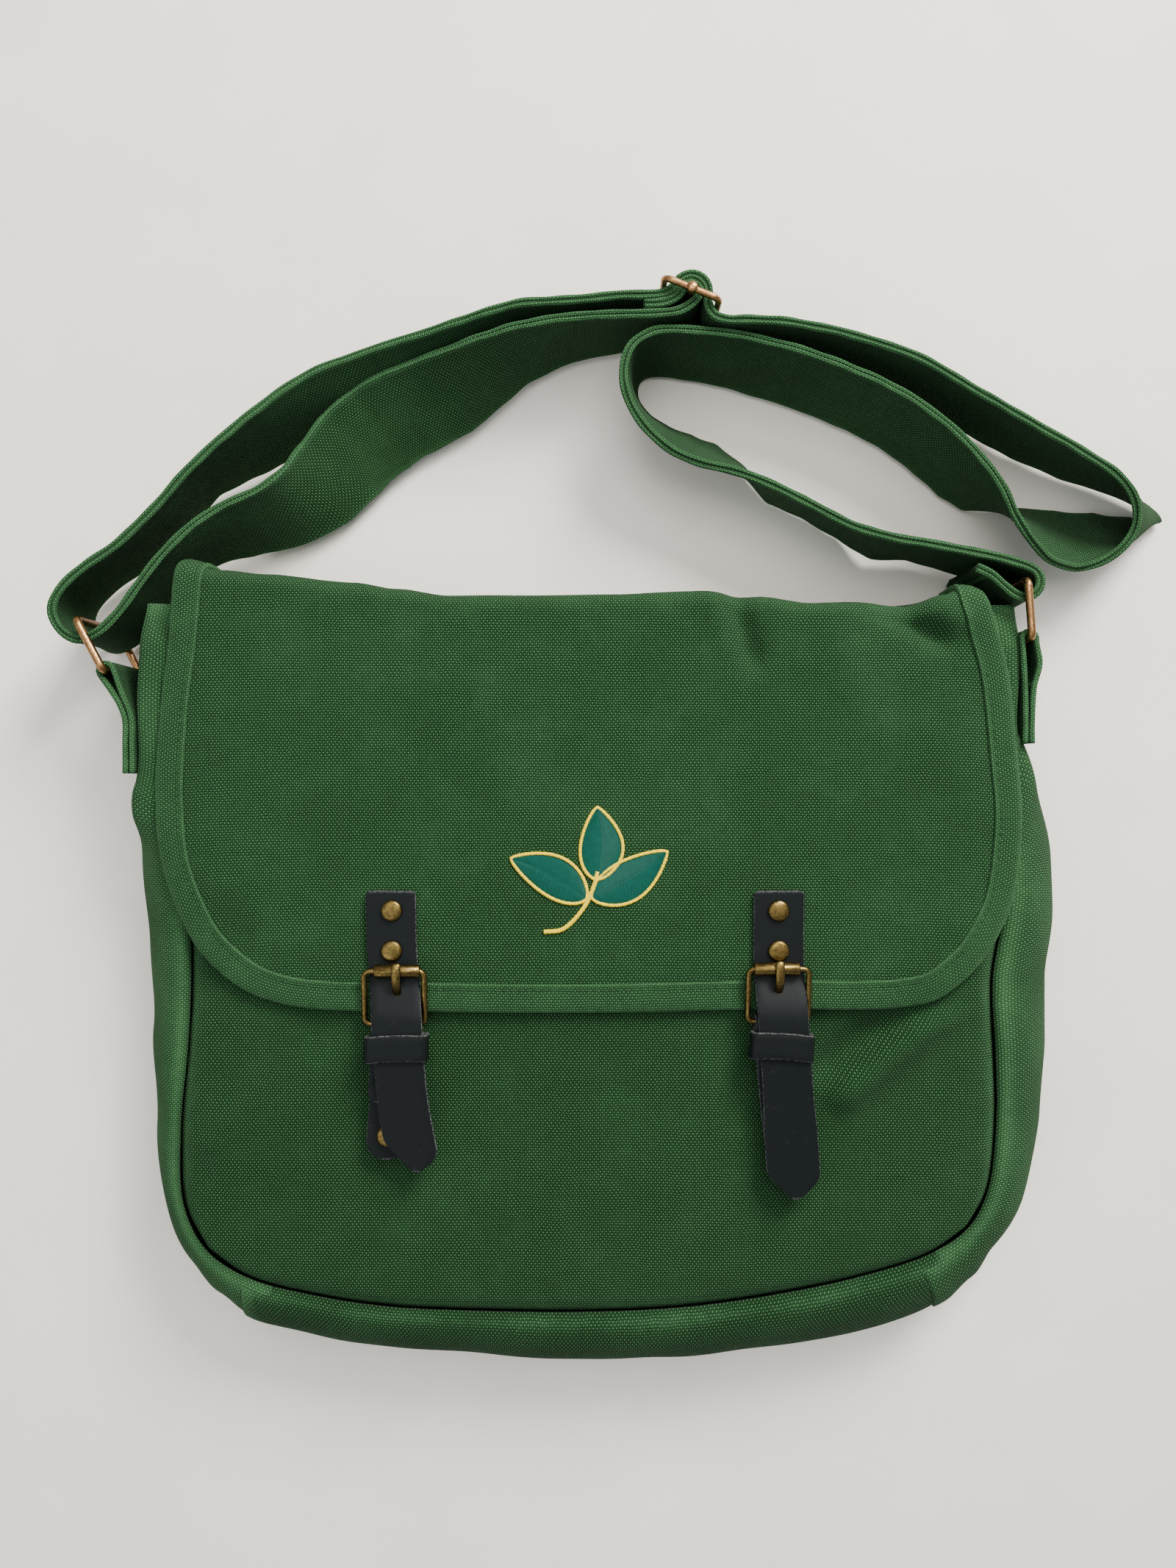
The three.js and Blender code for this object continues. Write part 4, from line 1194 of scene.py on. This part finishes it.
# Each strap's middle line seen from the front, from its tip upwards: (y, x)
STRAP_LINE = {"left": ((-68, -66.6), (-55, -69.6), (-40, -71.9), (-21, -73.4), (-10, -74.0), (0, -75.0),
                       (14, -76.6), (36, -76.9)),
              "right": ((-78, 73.2), (-62, 71.9), (-40, 70.4), (-21, 69.0), (-10, 68.3), (0, 67.8), (14, 67.4),
                        (36, 67.6))}
# How far each roller, prong, keeper and rivet sits to one side of its strap's middle
ROLLER_PLAY = {"left": 1.3, "right": -0.8}
PRONG_PLAY = {"left": 1.2, "right": 0.0}
KEEPER_PLAY = {"left": 1.0, "right": 0.9}
RIVET_PLAY = {"left": -1.2, "right": 0.3}
ANCHOR_BEND = {"left": -2.8, "right": 4.2}
ANCHOR_SIDE = [(0, -64, 46.1), (0, -45, 46.1), (0, -38, 45.8), (0, -31, 44.8), (0, -20, 44.4), (0, -14.4, 44.4),
               (0, -11.6, 45.2), (0, -11.0, 46.8), (0, -11.8, 48.5), (0, -14.4, 49.2), (0, -22, 49.2),
               (0, -31, 49.1), (0, -36, 48.15), (0, -42, 48.1)]
SNAP_Y = -55.0
RIVET_Y = (28.7, 13.7)


# End radii above this are cut to a blunt point instead of rounded corners
POINTED = 10.0
# Widths and thicknesses of the leather strips, and the buckle's outside width, corner and wire radii
STRAP_STRIP = (18.6, 2.0)
ANCHOR_STRIP = (17.0, 1.8)
BUCKLE_WIDTH = 22.3
BUCKLE_CORNER = 2.4
BUCKLE_WIRE = 1.15
PRONG_WIRE = 1.05
PRONG_EYE = 2.05
PRONG_EYE_WIRE = 0.62
ROLLER_STEPS = 36
ROLLER_SEAM_STEP = 11
ROLLER_SEAM_DEPTH = 0.22


def line_value(points, x):
    """A value read in straight steps from (x, value) pairs, softened over a few millimetres."""
    total = 0.0
    for shift in (-4, -2, 0, 2, 4):
        spot = clamp(x + shift, points[0][0], points[-1][0])
        for (x0, v0), (x1, v1) in zip(points, points[1:]):
            if spot <= x1:
                total += v0 + (v1 - v0) * (spot - x0) / (x1 - x0)
                break
    return total / 5


def leather_band(name, path, width, thickness, stations, shift, ends, body, node):
    """A leather strip along a side profile. ends are corner radii at its two ends; shift moves it sideways."""
    half, corner = thickness / 2, min(0.55, thickness * 0.3)
    section = []
    for sx, sz, start in ((1, 1, 90), (1, -1, 0), (-1, -1, -90), (-1, 1, 180)):
        for k in range(4):
            angle = math.radians(start - 90 * k / 3)
            section.append((sx, corner * math.cos(angle) - sx * corner,
                            sz * (half - corner) + corner * math.sin(angle)))
        if sx == 1 and sz == -1 or sx == -1 and sz == 1:
            for share in (0.66, 0.33, 0.0, -0.33, -0.66):
                section.append((share * sx, 0.0, -half if sz == -1 else half))
    count = len(section)

    def station(u):
        warped = 0.5 - 0.5 * math.cos(math.pi * u) if stations > 30 else u
        return 0.35 * u + 0.65 * warped

    def width_at(run):
        value = width / 2 * (1 + 0.07 * ease((run - 70) / 25))
        for gap, radius in ((run, ends[0]), (path.length - run, ends[1])):
            if radius and gap < radius:
                if radius > POINTED:
                    value = min(value, width / 2 * (1.07 - (1 - gap / radius) ** 1.75) + 0.25)
                else:
                    value -= radius - math.sqrt(max(radius ** 2 - (radius - gap) ** 2, 0))
        return max(value, 0.3)

    def place(u, v):
        t = station(u)
        here, along = path.at(t), path.along(t)
        normal = Vector((0, -along.z, along.y)) * (1 if along.y < 0 else 1)
        side, inner, height = section[int(round(v * count)) % count]
        x, slope = shift(here.y)
        reach = width_at(t * path.length)
        wavy = 0.05 * math.sin(t * 170) + 0.03 * math.sin(t * 431)
        spot = here + normal * height
        return (x + side * reach + inner + wavy * abs(side), spot.y - slope * side * reach, spot.z)

    def wear(u, v):
        side, inner, height = section[int(round(v * count)) % count]
        t = station(u)
        gap = min(t, 1 - t) * path.length
        cut = 1.0 if abs(side) == 1 and abs(height) < half - 0.2 else 0.0
        return max(cut, 0.8 * math.exp(-(gap / 0.5) ** 2))

    mesh = mapped_grid(stations, count, place, lambda u, v: (u * path.length, v * width), wear,
                       closed_across=True)
    bmesh.ops.holes_fill(mesh, edges=[e for e in mesh.edges if e.is_boundary])
    bmesh.ops.recalc_face_normals(mesh, faces=mesh.faces)
    piece = keep(name, mesh, body, material_of("leather"))
    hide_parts(node)
    return piece


def rivet(name, node, spot, body, radius, low, high, shank_low, back_radius):
    """A domed rivet with a rim, a shank and a flat back disc."""
    dome = [(0.0, high), (radius * 0.45, high - 0.04), (radius * 0.72, high - 0.14), (radius * 0.86, high - 0.34),
            (radius * 0.95, high - 0.68), (radius, high - 1.05), (radius, low + 0.3), (radius * 0.97, low)]
    back = [(1.2, low), (1.2, shank_low + 0.55), (back_radius, shank_low + 0.5), (back_radius, shank_low),
            (0.0, shank_low)]
    piece = keep(name, turned_mesh(dome + back, 40, spot), body, material_of("brass"))
    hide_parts(node)


def closure(side):
    """One buckled closure: leather strap, folded anchor, keeper, frame, roller, prong, rivets and press stud."""
    centre = CLOSURE_X[side]
    tail_end, drop = TAIL[side]
    path = Path([(0, y + (drop if y < 8 else 0), z) for _, y, z in STRAP_SIDE])
    cut = next(i / 400 for i in range(401) if path.at(i / 400).y <= tail_end)
    path = Path([tuple(path.at(cut * k / 40)) for k in range(41)], 400)

    def tail_shift(y):
        line = STRAP_LINE[side]
        return line_value(line, y), (line_value(line, y + 2) - line_value(line, y - 2)) / -4

    leather_band(f"leather_strap_{side}", path, *STRAP_STRIP, 90, tail_shift, (1.8, 11.5), "flap",
                 f"flap_strap_{side}")
    anchor = Path([(0, y + drop, z) for _, y, z in ANCHOR_SIDE])
    bend = ANCHOR_BEND[side]

    def anchor_shift(y):
        share = clamp((-14 - y) / 50)
        return centre + bend * share ** 1.4, 1.4 * bend * share ** 0.4 / 50

    leather_band(f"leather_anchor_{side}", anchor, *ANCHOR_STRIP, 80, anchor_shift, (8.2, 4.0), "flap",
                 f"anchor_tab_{side}")
    for label, y in zip(("upper", "lower"), RIVET_Y):
        rivet(f"{label}_rivet_{side}", f"rivet_{label}_{side}", (centre + RIVET_PLAY[side], y), "flap",
              4.0, 47.2, 48.95, 42.3, 3.0)
    cad = node_box(f"snap_cap_{side}")
    snap_x = (cad[0][0] + cad[1][0]) / 2
    rivet(f"stud_cap_{side}", f"snap_cap_{side}", (snap_x, SNAP_Y), "flap", 4.0, 47.1, 48.6, 45.2, 2.6)
    cad = node_box(f"fold_rivet_{side}")
    middle = ((cad[0][0] + cad[1][0]) / 2, (cad[0][1] + cad[1][1]) / 2)
    rivet(f"hidden_rivet_{side}", f"fold_rivet_{side}", middle, "flap", 2.3, 49.1, 49.6, 43.9, 2.3)
    for node, label, body in ((f"snap_socket_{side}", "socket", "flap"), (f"snap_stud_{side}", "stud", "bag")):
        low, high = node_box(node)
        spot = ((low[0] + high[0]) / 2, (low[1] + high[1]) / 2)
        radius = (high[0] - low[0]) / 2
        outline = [(0.0, high[2]), (radius * 0.5, high[2]), (radius * 0.6, high[2] - 0.4), (radius, low[2] + 0.8),
                   (radius, low[2]), (0.0, low[2])]
        piece = keep(f"press_{label}_{side}", turned_mesh(outline, 32, spot), body,
                     material_of("brass"))
        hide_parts(node)
    keeper(side)
    buckle(side, centre, drop)


def keeper(side):
    low, high = node_box(f"keeper_{side}")
    wide, tall, wall = 10.5 * 2 + 1.2, 5.25 + 1.2, 1.2
    loop = rounded_loop(wide, tall, 2.0, 5)
    middle = Vector(((low[0] + high[0]) / 2, (low[1] + high[1]) / 2, (low[2] + high[2]) / 2))
    length = 9.6
    section = [(-length / 2, -wall / 2), (-length / 2, wall / 2), (-length * 0.46, wall * 0.62),
               (-length * 0.2, wall * 0.56), (length * 0.2, wall * 0.56), (length * 0.46, wall * 0.62),
               (length / 2, wall / 2), (length / 2, -wall / 2)]
    count = len(section)
    tilt = {"left": -0.04, "right": -0.08}[side]
    roll = {"left": 0.03, "right": -0.06}[side]

    def place(u, v):
        i = int(round(u * len(loop))) % len(loop)
        here = loop[i]
        along = (loop[(i + 1) % len(loop)] - loop[i - 1]).normalized()
        outward = Vector((along.z, 0, -along.x))
        y, rise = section[int(round(v * count)) % count]
        p = here + outward * rise
        wavy = 0.06 * math.sin(i * 1.9) - 0.0045 * p.x ** 2
        return (middle.x + KEEPER_PLAY[side] + p.x - tilt * y, middle.y + y + wavy + p.x * roll, middle.z + p.z)

    def wear(u, v):
        y = section[int(round(v * count)) % count][0]
        return 1.0 if abs(y) > length * 0.48 else 0.0

    mesh = mapped_grid(len(loop), count, place, lambda u, v: (u * 50, v * 10), wear, closed_across=True,
                       closed_along=True)
    bmesh.ops.recalc_face_normals(mesh, faces=mesh.faces)
    piece = keep(f"leather_keeper_{side}", mesh, f"keeper_{side}", material_of("leather"))
    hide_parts(f"keeper_{side}")


def wire(points, radius, sides=16, closed=True, flatten=None):
    """A round wire through points; flatten(i) thins it upwards and widens it sideways."""
    count = len(points)
    normals = []
    reference = Vector((0.31, 0.17, 0.94)).normalized()
    for i in range(count):
        ahead = points[(i + 1) % count] if closed else points[min(i + 1, count - 1)]
        back = points[i - 1] if closed or i else points[0]
        along = (ahead - back).normalized()
        side = (reference - along * reference.dot(along))
        side = side.normalized() if side.length > 1e-6 else along.orthogonal().normalized()
        reference = side
        normals.append((side, along.cross(side)))
    steps = count if closed else count - 1

    def place(u, v):
        i = int(round(u * steps))
        i = i % count if closed else min(i, count - 1)
        side, up = normals[i]
        angle = 2 * math.pi * v
        offset = side * (radius * math.cos(angle)) + up * (radius * math.sin(angle))
        if flatten:
            offset = flatten(i / steps, offset)
        return points[i] + offset

    mesh = mapped_grid(steps, sides, place, lambda u, v: (u * steps, v * 7), closed_across=True)
    if closed:
        bmesh.ops.remove_doubles(mesh, verts=mesh.verts, dist=2e-5)
    else:
        bmesh.ops.holes_fill(mesh, edges=[e for e in mesh.edges if e.is_boundary])
    bmesh.ops.recalc_face_normals(mesh, faces=mesh.faces)
    return mesh


def buckle(side, centre, drop):
    heel, roller = HEEL[side], ROLLER[side]
    middle = (heel + roller) / 2
    middle.x = centre
    lean = Vector((0, roller.y - heel.y, roller.z - heel.z))
    tall = lean.length
    lean.normalize()
    loop = [middle + Vector((p.x, 0, 0)) + lean * p.z for p in rounded_loop(BUCKLE_WIDTH, tall, BUCKLE_CORNER, 6)]
    frame_piece = keep(f"frame_wire_{side}", wire(loop, BUCKLE_WIRE, 16), f"buckle_{side}",
                       material_of("brass"))
    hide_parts(f"buckle_frame_{side}")
    outline = [(1.5, -8.4), (2.25, -8.4), (2.45, -8.1), (2.45, 8.1), (2.25, 8.4), (1.5, 8.4), (1.5, -8.4)]
    barrel = bmesh.new()
    uv = barrel.loops.layers.uv.new("weave")
    barrel.verts.layers.float.new("wear")
    rings = []
    for radius, x in outline[:-1]:
        ring = []
        for k in range(ROLLER_STEPS):
            angle = 2 * math.pi * k / ROLLER_STEPS
            seam = ROLLER_SEAM_DEPTH if k == ROLLER_SEAM_STEP and radius > 2 else 0.0
            spot = Vector((centre + ROLLER_PLAY[side] + x, roller.y + (radius - seam) * math.cos(angle),
                           roller.z + (radius - seam) * math.sin(angle)))
            ring.append(barrel.verts.new(spot * MM))
        rings.append(ring)
    for a, b in zip(rings, rings[1:] + rings[:1]):
        for k in range(ROLLER_STEPS):
            face = barrel.faces.new((a[k], a[(k + 1) % ROLLER_STEPS], b[(k + 1) % ROLLER_STEPS], b[k]))
            for loop_corner in face.loops:
                loop_corner[uv].uv = (loop_corner.vert.co.x, loop_corner.vert.co.y)
    bmesh.ops.recalc_face_normals(barrel, faces=barrel.faces)
    roller_piece = keep(f"roller_sleeve_{side}", barrel, f"roller_{side}", material_of("brass"))
    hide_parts(f"buckle_roller_{side}")
    prong_x = centre + PRONG_PLAY[side]
    prong_line = Path([(prong_x, y + drop, z) for y, z in (
        (-13.4, 48.85), (-10, 48.8), (-5.5, 48.6), (-2.4, 48.8), (-0.4, 50.4), (2.4, 52.6), (4.4, 53.2),
        (6.8, 53.4), (8.6, 53.2), (9.6, 52.6))])
    spots = [prong_line.at(k / 34) for k in range(35)]

    def flatten(share, offset):
        spread = 1.25 + 0.35 * ease((share - 0.3) / 0.3)
        return Vector((offset.x * spread, offset.y, offset.z * (1 - 0.45 * ease((share - 0.55) / 0.3))))

    tongue = wire(spots, PRONG_WIRE, 14, closed=False, flatten=flatten)
    eye = [Vector((prong_x, heel.y + PRONG_EYE * math.cos(a), heel.z + PRONG_EYE * math.sin(a)))
           for a in (2 * math.pi * k / 32 for k in range(32))]
    widened = wire(eye, PRONG_EYE_WIRE, 10,
                   flatten=lambda share, offset: Vector((offset.x * 2.2, offset.y, offset.z)))
    join_into(tongue, widened)
    prong_piece = keep(f"prong_wire_{side}", tongue, f"prong_{side}", material_of("brass"))
    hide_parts(f"buckle_prong_{side}")


def closures():
    for side in SIDES:
        closure(side)


# ---------------------------------------------------------------- rings and slider

RING_MIDDLE_Z = 23.8


def upright_loop(centre, width, height, corner, angle, offset):
    """Points of a wire loop standing on edge, turned about the vertical."""
    turn = math.radians(angle)
    return [Vector((centre[0] + (p.x + offset) * math.cos(turn), centre[1] + (p.x + offset) * math.sin(turn),
                    RING_MIDDLE_Z + p.z)) for p in rounded_loop(width, height, corner, 7)]


def hardware():
    for side, angle in (("left", 117.9), ("right", 94.3)):
        bar = RING_BAR[side]
        loop = upright_loop((bar.x, bar.y), 21.6, 42, 2.5, angle, 10.8)
        piece = keep(f"ring_wire_{side}", wire(loop, 1.5, 18), f"ring_{side}", material_of("copper"))
        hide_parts(f"ring_{side}")
    loop = upright_loop((SLIDER.x, SLIDER.y), 22, 43.2, 3, -22, 0)
    piece = keep("slider_wire", wire(loop, 1.3, 18), "slider", material_of("copper"))
    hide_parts("slider_frame")
    low, high = node_box("slider_bar")
    outline = [(0.0, high[2]), (1.5, high[2]), (2.1, high[2] - 0.6), (2.1, high[2] - 3.4), (1.3, high[2] - 4),
               (1.3, low[2] + 4), (2.1, low[2] + 3.4), (2.1, low[2] + 0.6), (1.5, low[2]), (0.0, low[2])]
    bar = keep("slider_crimped_bar", turned_mesh(outline, 28, (SLIDER.x, SLIDER.y)), "slider",
               material_of("copper"))
    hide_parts("slider_bar")


# ---------------------------------------------------------------- camera, floor and light

def stage():
    scene = bpy.context.scene
    settings = scene.bag_camera
    camera = bpy.data.objects.new("camera", bpy.data.cameras.new("camera"))
    camera.data.lens = settings.lens
    camera.data.sensor_width = 36
    camera.data.dof.use_dof = False
    camera.location = (settings.aim_x, settings.aim_y, settings.height)
    bpy.context.collection.objects.link(camera)
    scene.camera = camera
    mesh = bmesh.new()
    bmesh.ops.create_grid(mesh, x_segments=1, y_segments=1, size=3)
    for vert in mesh.verts:
        vert.co.z = CAD_BOUNDS[0][2] - 0.0006
    floor = keep("table", mesh, None, material_of("table"), smooth=False)
    for name, spot, size, power, tint in (
            ("soft_window", (0.62, 1.15, 0.95), 0.6, 45.0, (1, 0.98, 0.95)),
            ("fill", (-0.75, -0.35, 1.1), 1.1, 5.5, (0.95, 0.97, 1)),
            ("overhead", (0.05, 0.55, 1.4), 1.0, 14.0, (1, 0.99, 0.96))):
        lamp = bpy.data.lights.new(name, "AREA")
        lamp.shape = "SQUARE"
        lamp.size = size
        lamp.energy = power
        lamp.color = tint
        piece = bpy.data.objects.new(name, lamp)
        piece.location = spot
        piece.rotation_euler = (Vector((0, 0.06, 0.02)) - Vector(spot)).to_track_quat("-Z", "Y").to_euler()
        bpy.context.collection.objects.link(piece)
    world = bpy.data.worlds.new("room")
    world.use_nodes = True
    world.node_tree.nodes["Background"].inputs[0].default_value = (0.9, 0.93, 1, 1)
    world.node_tree.nodes["Background"].inputs[1].default_value = 0.47
    scene.world = world


# ---------------------------------------------------------------- operators and panel

def run_step(operator, step):
    """Runs one building step; a step that can't finish stops the operator with its error."""
    step()
    operator.report({"INFO"}, operator.bl_label + " made")
    return {"FINISHED"}


class BAG_OT_stage(bpy.types.Operator):
    """Set up the camera, the table and the soft light"""
    bl_idname = "bag.stage"
    bl_label = "Stage"

    def execute(self, context):
        return run_step(self, stage)


class BAG_OT_body(bpy.types.Operator):
    """Build the front, back and gussets"""
    bl_idname = "bag.body"
    bl_label = "Bag Body"

    def execute(self, context):
        return run_step(self, bag_body)


class BAG_OT_flap(bpy.types.Operator):
    """Build the flap, its binding and stitching"""
    bl_idname = "bag.flap"
    bl_label = "Flap"

    def execute(self, context):
        return run_step(self, flap_group)


class BAG_OT_emblem(bpy.types.Operator):
    """Embroider the sprig"""
    bl_idname = "bag.emblem"
    bl_label = "Emblem"

    def execute(self, context):
        return run_step(self, emblem)


class BAG_OT_straps(bpy.types.Operator):
    """Build the shoulder strap and the ring tabs"""
    bl_idname = "bag.straps"
    bl_label = "Straps"

    def execute(self, context):
        return run_step(self, straps)


class BAG_OT_closures(bpy.types.Operator):
    """Build the leather closures with their buckles and rivets"""
    bl_idname = "bag.closures"
    bl_label = "Closures"

    def execute(self, context):
        return run_step(self, closures)


class BAG_OT_hardware(bpy.types.Operator):
    """Build the strap's rings and slider"""
    bl_idname = "bag.hardware"
    bl_label = "Rings and Slider"

    def execute(self, context):
        return run_step(self, hardware)


STEPS = (BAG_OT_stage, BAG_OT_body, BAG_OT_flap, BAG_OT_emblem, BAG_OT_straps, BAG_OT_closures, BAG_OT_hardware)


class BAG_PT_panel(bpy.types.Panel):
    """Lists the building steps"""
    bl_idname = "BAG_PT_panel"
    bl_label = "Messenger Bag"
    bl_space_type = "VIEW_3D"
    bl_region_type = "UI"
    bl_category = "Bag"

    def draw(self, context):
        for step in STEPS:
            self.layout.operator(step.bl_idname)
        for settings in (context.scene.bag_cloth, context.scene.bag_metal, context.scene.bag_camera):
            for name in settings.__annotations__:
                self.layout.prop(settings, name)


SETTINGS = (("bag_cloth", BagCloth), ("bag_metal", BagMetal), ("bag_camera", BagCamera))


def register():
    for name, group in SETTINGS:
        bpy.utils.register_class(group)
        setattr(bpy.types.Scene, name, bpy.props.PointerProperty(type=group))
    for item in STEPS + (BAG_PT_panel,):
        bpy.utils.register_class(item)


def unregister():
    for item in (BAG_PT_panel,) + STEPS[::-1]:
        bpy.utils.unregister_class(item)
    for name, group in SETTINGS[::-1]:
        delattr(bpy.types.Scene, name)
        bpy.utils.unregister_class(group)


def main():
    register()
    for step in STEPS:
        area, action = step.bl_idname.split(".")
        getattr(getattr(bpy.ops, area), action)()


if __name__ == "__main__":
    main()
